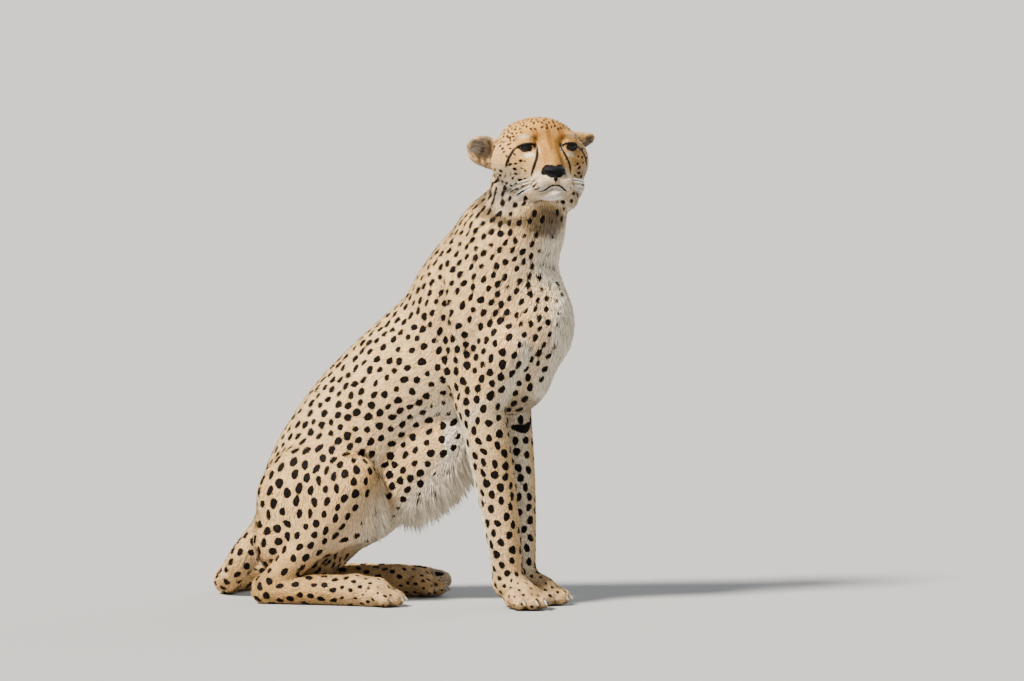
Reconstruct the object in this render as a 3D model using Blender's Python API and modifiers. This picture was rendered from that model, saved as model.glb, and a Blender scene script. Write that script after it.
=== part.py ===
"""A sitting cheetah at life size: a still model, whole in form and parted where a person names its parts.

The animal sits with its hips facing +X and its left side at +Y.  Its chest turns a little to the right and
its head more.  Lengths are in millimetres here and become metres when a mesh is made.  Z is 0 at the floor.
Rounded forms, placed on the animal's joints, are fused by a voxel remesh, smoothed, and parted by thin cuts.
"""
from dataclasses import dataclass
from math import cos, radians, sin

import bmesh
import bpy
import numpy as np
from mathutils import Matrix, Vector

MM = 0.001
GAP = 0.4                                  # width of every cut between two pieces
BODY_TRIANGLES = 3120                      # before the cuts, which add about as many again
HEAD_TRIANGLES = 1270
SLIVER_ANGLE = 6                           # degrees within which neighbouring faces are merged
FLOOR_CENTRE = Vector((-3.2, 67.6, 0.0))    # middle of the footprint, which becomes the origin

# Turns of the body, in degrees about Z, and the head's lift.
CHEST_YAW = -16.0
HEAD_YAW = -59.0
HEAD_PITCH = 6.0
HEAD_CENTRE = Vector((291, -70, 861))

# Joints.  R is the right side, at -Y, and L the left.
SHOULDER = {"R": Vector((236, -110, 500)), "L": Vector((266, 8, 498))}
ELBOW = {"R": Vector((182, -98, 392)), "L": Vector((201, 28, 388))}
WRIST = {"R": Vector((238, -89, 48)), "L": Vector((238, 0, 46))}
FOREPAW_YAW = {"R": -36.0, "L": -6.0}
HIND_FORWARD = {"R": 0.0, "L": 17.0}       # the left hind foot rests a little ahead
HIP = Vector((-196, 58, 118))
KNEE = Vector((-68, 107, 234))
HEEL = Vector((-232, 117, 27))
HIND_TOES = Vector((-56, 118, 29))

# The eyeball's centre, ahead, aside and up of the head's, and its radius.
EYE_AHEAD, EYE_ASIDE, EYE_UP = 61, 41, 11
EYE_RADIUS = 16
EAR_RADII = (34, 30, 13)                   # along the ear, across it and through it
# Each ear's centre in the head's frame, the way to its tip, and the way that its opening faces.
EARS = {
    -1: ((-28, -99, 8), (-0.2, -0.92, 0.33), (1.0, -0.18, 0.1)),
    1: ((-34, 91, 20), (-0.45, 0.86, 0.2), (0.35, 0.3, -0.85)),
}

# Where each toe lies in its paw: aside, and ahead at its knuckle and its tip.
TOES = ((-27, 44, 66), (-10, 54, 82), (10, 54, 82), (27, 44, 66))
TOE_TILT = 1.06                            # the toes spread a little towards their tips

# Stations along the spine and neck: x, y, z, radius, and width as a share of that radius.
SPINE = (
    (-196, 0, 112, 88, 0.95), (-182, 0, 178, 101, 0.92), (-140, 0, 257, 112, 0.84),
    (-70, -2, 346, 118, 0.77), (12, -6, 426, 118, 0.79), (106, -17, 498, 127, 0.80),
    (172, -32, 574, 132, 0.77), (205, -41, 642, 120, 0.80), (226, -46, 690, 107, 0.82),
    (250, -52, 732, 93, 0.88), (268, -60, 772, 79, 0.95), (278, -65, 812, 70, 1.00),
)
# The tail leaves the rump, drops to the floor and curls forward round the left side.
TAIL = (
    (-258, 2, 132, 36, 1), (-305, 8, 84, 31, 1), (-338, 28, 44, 28, 1), (-362, 70, 26, 28, 1),
    (-366, 122, 24, 27, 1), (-350, 178, 23, 26, 1), (-310, 232, 23, 26, 1), (-250, 266, 22, 25, 1),
    (-180, 286, 22, 25, 1), (-110, 294, 22, 25, 1), (-40, 292, 21, 24, 1), (6, 284, 17, 20, 1),
)

UP = Vector((0, 0, 1))


@dataclass(frozen=True)
class Axes:
    """A local frame in millimetres: an origin and three square unit directions."""

    origin: Vector
    ahead: Vector
    left: Vector
    up: Vector

    @classmethod
    def facing(cls, origin, yaw, pitch=0.0):
        """Frame at origin that looks along yaw degrees about Z, lifted by pitch degrees."""
        level = Vector((cos(radians(yaw)), sin(radians(yaw)), 0))
        left = UP.cross(level)
        ahead = level * cos(radians(pitch)) + UP * sin(radians(pitch))
        return cls(Vector(origin), ahead, left, ahead.cross(left))

    @classmethod
    def along(cls, origin, ahead, side):
        """Frame at origin whose ahead is given and whose left is as near to side as it can be."""
        ahead = Vector(ahead).normalized()
        left = (Vector(side) - Vector(side).dot(ahead) * ahead).normalized()
        return cls(Vector(origin), ahead, left, ahead.cross(left))

    def at(self, ahead, left, up):
        """Point of this frame in the row's millimetres."""
        return self.origin + self.ahead * ahead + self.left * left + self.up * up

    def turn(self, ahead, left, up):
        """Direction of this frame in the row's axes."""
        return self.ahead * ahead + self.left * left + self.up * up

    def matrix(self, radii, centre=None):
        """Matrix that takes a unit shape to this frame, scaled by radii, in metres."""
        basis = Matrix((self.ahead, self.left, self.up)).transposed() @ Matrix.Diagonal(Vector(radii))
        place = (self.origin if centre is None else centre) - FLOOR_CENTRE
        return Matrix.Translation(place * MM) @ (basis * MM).to_4x4()


BODY = Axes(Vector((0, 0, 0)), Vector((1, 0, 0)), Vector((0, 1, 0)), UP)
CHEST = Axes.facing((0, 0, 0), CHEST_YAW)
HEAD = Axes.facing(HEAD_CENTRE, HEAD_YAW, HEAD_PITCH)

# Cuts: square across the neck below the jaw, across the trunk and neck's root, and across the tail, the last
# as stations of its resampled path.
NECK_CUT = Axes.along((260, -57, 757), (0.30, -0.10, 0.95), CHEST.left)
TRUNK_CUTS = (
    ((-95, -1, 292), (0.6, 0, 0.8)), ((62, -11, 452), (0.75, 0, 0.66)), ((212, -42, 652), (0.35, -0.1, 0.93)),
)
TAIL_CUTS = (2, 7, 12, 17)
BETWEEN_FORELEGS = -57                     # y of a plane that passes between the forelegs

# A point inside each length of the trunk and tail, by which the cut lengths are named.
ANCHORS = {
    "neck": (230, -50, 700), "chest": (170, -30, 540), "abdomen": (-10, -5, 370), "pelvis": (-170, 0, 190),
    "tail_1": (-320, 15, 70), "tail_2": (-362, 130, 25), "tail_3": (-250, 262, 25), "tail_4": (-60, 292, 24),
}


def resample(stations, steps):
    """Rows of stations read from a Catmull-Rom curve through them, with this many steps a span."""
    rows = np.array(stations, float)
    ends = np.vstack([2 * rows[0] - rows[1], rows, 2 * rows[-1] - rows[-2]])
    t = np.linspace(0, 1, steps, endpoint=False)[:, None]
    spans = [
        0.5 * (2 * b + (c - a) * t + (2 * a - 5 * b + 4 * c - d) * t**2 + (3 * b - a - 3 * c + d) * t**3)
        for a, b, c, d in zip(ends, ends[1:], ends[2:], ends[3:])
    ]
    return np.vstack(spans + [rows[-1:]])


class Clay:
    """Overlapping closed forms that a voxel remesh fuses into one."""

    def __init__(self):
        self.bm = bmesh.new()

    def ball(self, axes, centre, radii):
        """Add an ellipsoid with its centre in millimetres and its radii along the axes."""
        place = axes.matrix(radii, centre)
        bmesh.ops.create_uvsphere(self.bm, u_segments=24, v_segments=14, radius=1, matrix=place)

    def limb(self, stations, side, steps=3):
        """Add a rounded limb: the convex hull of each two ellipsoids that follow each other on its path."""
        rows = resample(stations, steps)
        for here, there in zip(rows, rows[1:]):
            ahead = there[:3] - here[:3]
            link = bmesh.new()
            for x, y, z, radius, flat in (here, there):
                radii = (radius * 0.9, radius * flat, radius)
                place = Axes.along((x, y, z), ahead, side).matrix(radii)
                bmesh.ops.create_uvsphere(link, u_segments=20, v_segments=12, radius=1, matrix=place)
            hull = bmesh.ops.convex_hull(link, input=link.verts)
            inner = [item for item in hull["geom_interior"] if isinstance(item, bmesh.types.BMVert)]
            bmesh.ops.delete(link, geom=inner, context="VERTS")
            self.add(link)

    def add(self, other):
        """Move another bmesh's faces into this clay and free it."""
        mesh = bpy.data.meshes.new("link")
        other.to_mesh(mesh)
        other.free()
        self.bm.from_mesh(mesh)
        bpy.data.meshes.remove(mesh)

    def fuse(self, name, voxel):
        """Return one closed object made from all the forms."""
        thing = new_object(name, self.bm)
        remesh = thing.modifiers.new("Fuse", "REMESH")
        remesh.mode = "VOXEL"
        remesh.voxel_size = voxel * MM
        settle(thing)
        return thing


def new_object(name, bm):
    """Link an object that holds this bmesh, and free the bmesh."""
    mesh = bpy.data.meshes.new(name)
    bm.to_mesh(mesh)
    bm.free()
    thing = bpy.data.objects.new(name, mesh)
    bpy.context.scene.collection.objects.link(thing)
    return thing


def settle(thing):
    """Apply an object's modifiers."""
    graph = bpy.context.evaluated_depsgraph_get()
    mesh = bpy.data.meshes.new_from_object(thing.evaluated_get(graph))
    old = thing.data
    thing.modifiers.clear()
    thing.data = mesh
    bpy.data.meshes.remove(old)


def discard(thing):
    """Remove an object and its mesh."""
    mesh = thing.data
    bpy.data.objects.remove(thing)
    bpy.data.meshes.remove(mesh)


def smooth(thing, times, weight=None):
    """Relax an object's surface; weight, if given, maps the vertices' places in millimetres to 0..1."""
    relax = thing.modifiers.new("Relax", "SMOOTH")
    relax.factor = 0.5
    relax.iterations = times
    if weight is not None:
        group = thing.vertex_groups.new(name="relax")
        places = np.empty(len(thing.data.vertices) * 3)
        thing.data.vertices.foreach_get("co", places)
        shares = np.round(weight(places.reshape(-1, 3) / MM + np.array(FLOOR_CENTRE)), 1)
        for share in np.unique(shares):
            group.add(np.nonzero(shares == share)[0].tolist(), float(share), "REPLACE")
        relax.vertex_group = group.name
    settle(thing)


def simplify(thing, triangles):
    """Collapse an object's edges down to about this many triangles."""
    thing.data.calc_loop_triangles()
    collapse = thing.modifiers.new("Simplify", "DECIMATE")
    collapse.ratio = triangles / len(thing.data.loop_triangles)
    settle(thing)


def tidy(thing, degrees):
    """Merge faces that lie within a few degrees of each other, such as the slivers along a cut."""
    bm = bmesh.new()
    bm.from_mesh(thing.data)
    bmesh.ops.remove_doubles(bm, verts=bm.verts, dist=0.05 * MM)
    bmesh.ops.dissolve_limit(bm, angle_limit=radians(degrees), verts=bm.verts, edges=bm.edges)
    bmesh.ops.triangulate(bm, faces=bm.faces)
    bm.to_mesh(thing.data)
    bm.free()


def block(axes, centre, half):
    """Box cutter with its centre and half sizes in millimetres along the axes."""
    bm = bmesh.new()
    bmesh.ops.create_cube(bm, size=2, matrix=axes.matrix(half, centre))
    return cutter(bm)


def egg(axes, centre, radii):
    """Ellipsoid cutter."""
    bm = bmesh.new()
    bmesh.ops.create_uvsphere(bm, u_segments=14, v_segments=9, radius=1, matrix=axes.matrix(radii, centre))
    return cutter(bm)


def cutter(bm):
    """Object that only cuts."""
    thing = new_object("cutter", bm)
    thing.display_type = "WIRE"
    thing.hide_render = True
    return thing


def boolean(thing, tool, operation):
    """Cut or keep what a cutter covers, and discard the cutter."""
    cut = thing.modifiers.new("Cut", "BOOLEAN")
    cut.operation = operation
    cut.solver = "EXACT"
    cut.object = tool
    settle(thing)
    discard(tool)


def take(whole, name, shape, axes, centre, half):
    """Part off the piece of whole inside a block or egg, leaving the thin gap round it."""
    piece = bpy.data.objects.new(name, whole.data.copy())
    bpy.context.scene.collection.objects.link(piece)
    boolean(piece, shape(axes, centre, half), "INTERSECT")
    boolean(whole, shape(axes, centre, [size + GAP for size in half]), "DIFFERENCE")
    return piece


def slice_through(whole, axes, centre, half_width, half_height):
    """Cut a thin slot across a limb, square to the axes' ahead direction."""
    boolean(whole, block(axes, centre, (GAP / 2, half_width, half_height)), "DIFFERENCE")


def islands(thing, anchors):
    """Split an object into its loose bodies, each named by the nearest of the anchor points."""
    bm = bmesh.new()
    bm.from_mesh(thing.data)
    bm.verts.ensure_lookup_table()
    seen = set()
    pieces = []
    for start in bm.verts:
        if start in seen:
            continue
        body = {start}
        edge = [start]
        while edge:
            vertex = edge.pop()
            for link in vertex.link_edges:
                other = link.other_vert(vertex)
                if other not in body:
                    body.add(other)
                    edge.append(other)
        seen |= body
        part = bm.copy()
        part.verts.ensure_lookup_table()
        keep = {vertex.index for vertex in body}
        bmesh.ops.delete(part, geom=[v for v in part.verts if v.index not in keep], context="VERTS")
        middle = sum((v.co for v in part.verts), Vector()) / len(part.verts) / MM + FLOOR_CENTRE
        name = min(anchors, key=lambda key: (Vector(anchors[key]) - middle).length)
        pieces.append(new_object(name, part))
    bm.free()
    discard(thing)
    return pieces


def hind(point, side):
    """Hind-leg point of one side, from the left's pattern."""
    sign = 1 if side == "L" else -1
    return Vector((point.x + HIND_FORWARD[side], point.y * sign, point.z))


def paw(clay, wrist, yaw):
    """A paw on the floor: the pastern, the palm and four toes."""
    foot = Axes.facing((wrist.x, wrist.y, 0), yaw)
    clay.limb([(*foot.at(0, 0, wrist.z), 29, 0.95), (*foot.at(44, 0, 29), 27, 0.95)], foot.left)
    clay.ball(foot, foot.at(40, 0, 20), (40, 33, 25))
    for lateral, knuckle, tip in TOES:
        joint, pad = foot.at(knuckle, lateral * 0.85, 27), foot.at(tip, lateral * TOE_TILT, 16)
        clay.limb([(*joint, 17, 1), (*pad, 15, 1)], foot.left, 1)


def foreleg(clay, side):
    """Upper arm, forearm and paw.  The forearm bows 5 mm forward of the line from elbow to wrist."""
    shoulder, elbow, wrist = SHOULDER[side], ELBOW[side], WRIST[side]
    rows = [(*shoulder, 58, 0.75), (*shoulder.lerp(elbow, 0.5), 53, 0.76)]
    for share, radius in ((0, 49), (0.2, 46), (0.42, 42), (0.66, 37), (0.84, 33), (1, 31)):
        point = elbow.lerp(wrist, share) + CHEST.ahead * 5 * sin(np.pi * share)
        rows.append((*point, radius, 0.80 + 0.14 * share))
    clay.limb(rows, CHEST.left)
    paw(clay, wrist, FOREPAW_YAW[side])


def hind_leg(clay, side):
    """Thigh, shin and the long foot that lies flat on the floor."""
    hip, knee, heel, toes = (hind(point, side) for point in (HIP, KNEE, HEEL, HIND_TOES))
    thigh = Axes.along(hip.lerp(knee, 0.45) + Vector((0, 0, 30)), (1, 0, 0.2), BODY.left)
    clay.ball(thigh, thigh.origin, (124, 58, 108))
    clay.limb([(*hip, 78, 0.85), (*hip.lerp(knee, 0.5), 66, 0.85), (*knee, 49, 0.85)], BODY.left)
    shin = [(*knee, 50, 0.85)]
    for share, radius in ((0.28, 46), (0.58, 37), (0.86, 29)):
        point = knee.lerp(heel, share) + Vector((8, 0, -6)) * sin(np.pi * share)
        shin.append((*point, radius, 0.85))
    clay.limb(shin + [(*heel, 28, 0.95)], BODY.left)
    clay.limb([(*heel, 29, 0.95), (*heel.lerp(toes, 0.5), 30, 0.95), (*toes, 31, 0.95)], BODY.left)
    paw(clay, toes, 3 if side == "L" else -3)


def make_body():
    """Everything below the head, as one closed form."""
    clay = Clay()
    clay.limb(SPINE, BODY.left + CHEST.left, 4)
    clay.ball(Axes.along((0, 0, 0), (0.64, 0, 0.77), BODY.left), Vector((57, -8, 282)), (150, 62, 72))
    clay.ball(CHEST, Vector((264, -54, 540)), (94, 80, 112))
    clay.ball(CHEST, Vector((222, -44, 446)), (92, 70, 86))
    blade = Axes.along((0, 0, 0), CHEST.ahead * 0.55 - UP * 0.83, CHEST.left)
    upper_arm = Axes.along((0, 0, 0), CHEST.ahead * 0.45 - UP * 0.89, CHEST.left)
    for side, sign in (("L", 1), ("R", -1)):
        clay.ball(blade, Vector((176, -33, 572)) + CHEST.left * 60 * sign, (92, 27, 52))
        clay.ball(upper_arm, Vector((172, -34, 452)) + CHEST.left * 64 * sign, (82, 35, 50))
        foreleg(clay, side)
        hind_leg(clay, side)
    clay.limb(TAIL, UP)
    body = clay.fuse("body", 4.0)
    smooth(body, 8)
    smooth(body, 40, lambda places: np.clip((places[:, 2] - 60) / 50, 0, 1))
    simplify(body, BODY_TRIANGLES)
    boolean(body, block(BODY, Vector((0, 60, -50)), (600, 500, 50)), "DIFFERENCE")
    return body


def make_head():
    """Head and the top of the neck, as one closed form."""
    clay = Clay()
    clay.limb(SPINE[-4:], CHEST.left, 4)
    clay.ball(HEAD, HEAD.at(-16, 0, 6), (74, 76, 65))
    clay.ball(HEAD, HEAD.at(26, 0, 26), (46, 56, 42))
    clay.ball(HEAD, HEAD.at(72, 0, -54), (42, 38, 26))
    clay.limb([(*HEAD.at(48, 0, 20), 25, 1), (*HEAD.at(98, 0, -30), 17, 1)], HEAD.left)
    clay.ball(HEAD, HEAD.at(108, 0, -40), (12, 20, 13))
    clay.ball(HEAD, HEAD.at(88, 0, -80), (19, 22, 12))
    for sign in (-1, 1):
        for ahead, left, up, radii in (
            (-6, 34, 26, (46, 36, 30)),      # temple
            (10, 54, -16, (54, 40, 48)),     # cheek
            (40, 48, -14, (32, 30, 32)),     # cheekbone
            (30, 44, -48, (36, 32, 30)),     # side of the jaw
            (-16, 52, -56, (46, 42, 42)),    # ruff
            (2, 47, -78, (36, 31, 34)),      # its lower edge, beside the throat
            (56, 36, 30, (18, 24, 10)),      # brow
            (61, 41, 11, (19, 19, 19)),      # lids
            (58, 24, -26, (36, 26, 34)),     # side of the nose
            (90, 19, -58, (25, 21, 18)),     # whisker pad
        ):
            clay.ball(HEAD, HEAD.at(ahead, left * sign, up), radii)
        clay.limb([(*HEAD.at(76, 8 * sign, -76), 16, 1), (*HEAD.at(-8, 46 * sign, -62), 28, 1)], HEAD.left)
        ear = ear_axes(sign)
        clay.ball(ear, ear.origin, EAR_RADII)
        clay.ball(ear, ear.at(-20, 0, -6), (26, 28, 18))
    head = clay.fuse("head", 3.0)
    smooth(head, 16)
    for sign in (-1, 1):
        ear = ear_axes(sign)
        boolean(head, egg(HEAD, HEAD.at(84, 41 * sign, 11), (18, 15, 8.5)), "DIFFERENCE")
        boolean(head, egg(ear, ear.at(0, 0, 9), (28, 23, 12)), "DIFFERENCE")
    simplify(head, HEAD_TRIANGLES)
    return head


def eye_centre(sign):
    """Centre of the left eyeball for sign 1, and of the right for -1."""
    return HEAD.at(EYE_AHEAD, EYE_ASIDE * sign, EYE_UP)


def ear_axes(sign):
    """Frame of an ear: ahead runs to its tip, left up its height, and up out of its opening.

    The right ear turns out to the side, and the left one tips over, so that its opening faces down.
    """
    centre, tip, opening = EARS[sign]
    ahead = HEAD.turn(*tip).normalized()
    opening = HEAD.turn(*opening)
    opening = (opening - opening.dot(ahead) * ahead).normalized()
    return Axes(HEAD.at(*centre), ahead, opening.cross(ahead), opening)


def part_head(head):
    """Part the head from the neck, its ears and its nose from it, and seat its eyes."""
    pieces = []
    boolean(head, block(NECK_CUT, NECK_CUT.at(-200, 0, 0), (200 + GAP / 2, 300, 300)), "DIFFERENCE")
    for sign, side in ((-1, "R"), (1, "L")):
        ear = ear_axes(sign)
        pieces.append(take(head, "ear_" + side, block, ear, ear.at(18, 0, 0), (32, 34, 30)))
        eye = egg(HEAD, eye_centre(sign), (EYE_RADIUS,) * 3)
        eye.name = "eye_" + side
        boolean(head, egg(HEAD, eye_centre(sign), (EYE_RADIUS + GAP,) * 3), "DIFFERENCE")
        pieces.append(eye)
    pieces.append(take(head, "nose", egg, HEAD, HEAD.at(113, 0, -38), (15, 23, 15)))
    return pieces + [head]


def claws(body, foot, name):
    """Four claws, each a cone set into its toe and pointing down and forward."""
    pieces = []
    for number, (lateral, _, tip) in enumerate(TOES, 1):
        axes = Axes.along(foot.at(tip + 8, lateral * TOE_TILT, 19), foot.turn(0.86, 0, -0.5), foot.left)
        pieces.append(claw(f"{name}_{number}", axes, 0))
        boolean(body, claw("cutter", axes, GAP), "DIFFERENCE")
    return pieces


def claw(name, axes, grow):
    """One claw, a closed cone along the axes' ahead direction, grown all round by this much."""
    root, point, length = 3.2 + grow, 0.7 + grow, 15 + 2 * grow
    stand = Matrix((axes.left, axes.up, axes.ahead)).transposed().to_4x4()
    place = Matrix.Translation((axes.at(length / 2 - grow, 0, 0) - FLOOR_CENTRE) * MM) @ stand
    bm = bmesh.new()
    bmesh.ops.create_cone(bm, cap_ends=True, segments=8, radius1=root * MM, radius2=point * MM,
                          depth=length * MM, matrix=place)
    return new_object(name, bm)


def part_hind_leg(body, side):
    """Part off one hind foot by a block, then the haunch by an egg, split into thigh and shin."""
    sign = 1 if side == "L" else -1
    ahead = HIND_FORWARD[side]
    middle = hind(HEEL, side).lerp(hind(HIND_TOES, side), 0.5)
    foot = take(body, "hindfoot_" + side, block, BODY, middle + Vector((40, 2 * sign, 0)), (190, 48, 40))
    haunch = Vector((-135 + ahead / 2, 125 * sign, 165))
    thigh = take(body, "thigh_" + side, egg, BODY, haunch, (165, 80, 160))
    crease = Axes.along((-140 + ahead, 125 * sign, 145), (240, 0, 140), BODY.left)
    shin = take(thigh, "shin_" + side, block, crease, crease.at(0, 0, -90), (260, 90, 90))
    return [foot, thigh, shin]


def part_foreleg(body, side):
    """Part off one forepaw and forearm by blocks, and the shoulder with the upper arm by an egg."""
    wrist, elbow = WRIST[side], ELBOW[side]
    near, far = (-200, BETWEEN_FORELEGS - GAP) if side == "R" else (BETWEEN_FORELEGS, 100)
    middle, half = (near + far) / 2, (far - near) / 2
    shoulder = Vector((205, -40, 490)) + CHEST.left * (90 if side == "L" else -90)
    return [
        take(body, "forepaw_" + side, block, BODY, Vector((wrist.x + 30, middle, 25)), (90, half, 45)),
        take(body, "forearm_" + side, block, BODY, Vector((elbow.x + 60, middle, 209)), (105, half, 156)),
        take(body, "shoulder_" + side, egg, CHEST, shoulder, (105, 62, 170)),
    ]


def part_trunk(body):
    """Cut what is left of the body across the trunk, the neck and the tail."""
    boolean(body, block(NECK_CUT, NECK_CUT.at(200, 0, 0), (200 + GAP / 2, 300, 300)), "DIFFERENCE")
    for centre, ahead in TRUNK_CUTS:
        slot = Axes.along(centre, ahead, BODY.left)
        slice_through(body, slot, slot.origin, 250, 200)
    rows = resample(TAIL, 2)
    for station in TAIL_CUTS:
        slot = Axes.along(rows[station][:3], rows[station + 1][:3] - rows[station - 1][:3], UP)
        slice_through(body, slot, slot.origin, 48, 48)
    return islands(body, ANCHORS)


def part_body(body):
    """Part the body: claws, hind legs, forelegs, then the trunk and tail."""
    pieces = []
    for side, sign in (("L", 1), ("R", -1)):
        toes, wrist = hind(HIND_TOES, side), WRIST[side]
        pieces += claws(body, Axes.facing((toes.x, toes.y, 0), 3 * sign), "claw_hind_" + side)
        pieces += claws(body, Axes.facing((wrist.x, wrist.y, 0), FOREPAW_YAW[side]), "claw_fore_" + side)
    for side in "LR":
        pieces += part_hind_leg(body, side)
    for side in "LR":
        pieces += part_foreleg(body, side)
    return pieces + part_trunk(body)


def finish(name, colour, roughness):
    """Material with a Principled surface."""
    material = bpy.data.materials.new(name)
    material.use_nodes = True
    surface = material.node_tree.nodes["Principled BSDF"]
    surface.inputs["Base Color"].default_value = (*colour, 1)
    surface.inputs["Roughness"].default_value = roughness
    surface.inputs["Metallic"].default_value = 0
    return material


FINISHES = {
    "eye": ((0.09, 0.035, 0.012), 0.08), "nose": ((0.012, 0.010, 0.010), 0.4),
    "claw": ((0.55, 0.47, 0.34), 0.35),
    "chest": ((0.72, 0.58, 0.42), 0.9), "coat": ((0.66, 0.42, 0.22), 0.9),
}


def main():
    """Clear the scene, model the cheetah and give each piece its material."""
    for thing in list(bpy.data.objects):
        bpy.data.objects.remove(thing)
    pieces = part_body(make_body()) + part_head(make_head())
    home = bpy.data.collections.new("cheetah")
    bpy.context.scene.collection.children.link(home)
    for piece in pieces:
        tidy(piece, SLIVER_ANGLE)
        kind = piece.name.split("_")[0]
        colour, roughness = FINISHES.get(kind, FINISHES["coat"])
        piece.data.materials.clear()
        piece.data.materials.append(finish("mat_" + piece.name, colour, roughness))
        piece.display_type = "TEXTURED"
        piece.hide_render = False
        bpy.context.scene.collection.objects.unlink(piece)
        home.objects.link(piece)


main()
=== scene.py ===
"""A sitting cheetah at life size: the coat, eyes, nose and claws of the still model, worked over its solids.

Sizes are in millimetres in the animal's own plan, where z is 0 at the floor, the hips face +X and the left
side is at +Y.  The `plan` function turns them into metres in the frame.  The skin is the level surface of a
field of rounded forms, and every tuft of the coat is rooted in it.
"""
import logging
from dataclasses import astuple, dataclass, field
from enum import Enum
from itertools import product
from math import cos, pi, radians, sin

import bpy
import numpy as np
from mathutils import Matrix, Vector


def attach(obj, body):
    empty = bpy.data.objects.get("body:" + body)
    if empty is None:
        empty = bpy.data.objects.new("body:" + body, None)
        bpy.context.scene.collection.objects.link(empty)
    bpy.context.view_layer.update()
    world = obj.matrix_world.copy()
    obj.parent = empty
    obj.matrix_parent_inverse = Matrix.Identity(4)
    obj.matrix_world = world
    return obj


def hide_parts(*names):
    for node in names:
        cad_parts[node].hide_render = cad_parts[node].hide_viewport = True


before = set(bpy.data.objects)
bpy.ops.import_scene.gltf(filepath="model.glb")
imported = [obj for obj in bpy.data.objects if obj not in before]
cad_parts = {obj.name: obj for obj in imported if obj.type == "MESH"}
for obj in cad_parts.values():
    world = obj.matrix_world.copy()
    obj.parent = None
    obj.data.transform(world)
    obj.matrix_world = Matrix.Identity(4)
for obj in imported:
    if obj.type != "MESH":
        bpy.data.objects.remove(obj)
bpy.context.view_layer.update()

LOG = logging.getLogger("cheetah")

Array = np.ndarray
MM = 0.001
FLOOR_CENTRE = np.array((-3.2, 67.6, 0.0))
UP = np.array((0.0, 0.0, 1.0))
SEED = 7
SOLE = 0.0006          # the height in metres at which the soles are flat


def metres(places: Array) -> Array:
    """Places of the animal's plan, given in millimetres, in the frame's metres."""
    return (places - FLOOR_CENTRE) * MM


def plan(*point: float) -> Array:
    """One place of the plan, given in millimetres, in the frame's metres."""
    return metres(np.array(point, float))


def unit(vectors: Array) -> Array:
    """Vectors of length one: each divided by its own length."""
    vectors = np.asarray(vectors, float)
    return vectors / (np.linalg.norm(vectors, axis=-1, keepdims=True) + 1e-12)


def dot(a: Array, b: Array) -> Array:
    """Row by row dot product of two arrays of vectors."""
    return np.einsum("ij,ij->i", a, b)


def step(low: float, high: float, x: Array) -> Array:
    """Smooth step: 0 up to low, 1 from high on, and 3t^2 - 2t^3 in between; high may lie below low."""
    t = np.clip((x - low) / (high - low), 0, 1)
    return t * t * (3 - 2 * t)


def wave(places: Array, wide: tuple, bend: tuple) -> Array:
    """Bent waves over space, from -1 to 1: sin(places . wide + 2 sin(places . bend))."""
    return np.sin(places @ np.array(wide) + 2 * np.sin(places @ np.array(bend)))


def spans(corners: Array) -> Array:
    """Twice the area of each triangle, as the length of the cross product of two of its sides."""
    return np.linalg.norm(np.cross(corners[:, 1] - corners[:, 0], corners[:, 2] - corners[:, 0]), axis=1)


def between(places: Array) -> Array:
    """Squared distance of each place from every other, as a square table."""
    square = dot(places, places)
    return square[:, None] + square[None] - 2 * places @ places.T


def mix(a: Array, b: Array, share: Array) -> Array:
    """a and b in the proportion that share gives, from 0 for a to 1 for b."""
    a, b, share = np.asarray(a), np.asarray(b), np.asarray(share)[..., None]
    return a + (b - a) * share


def resample(stations: Array, steps: int) -> Array:
    """Rows read from a smooth curve through the stations.

    Formula: the Catmull-Rom cubic, whose slope at each station is half the span between its two neighbours.

    Args:
        stations: Rows of numbers, one row for each station.
        steps: Rows made for each span between two stations.

    Returns:
        The rows along the curve, ends included.
    """
    rows = np.asarray(stations, float)
    ends = np.vstack([2 * rows[0] - rows[1], rows, 2 * rows[-1] - rows[-2]])
    t = np.linspace(0, 1, steps, endpoint=False)[:, None]
    curves = [
        0.5 * (2 * b + (c - a) * t + (2 * a - 5 * b + 4 * c - d) * t**2 + (3 * b - a - 3 * c + d) * t**3)
        for a, b, c, d in zip(ends, ends[1:], ends[2:], ends[3:])
    ]
    return np.vstack(curves + [rows[-1:]])


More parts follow.
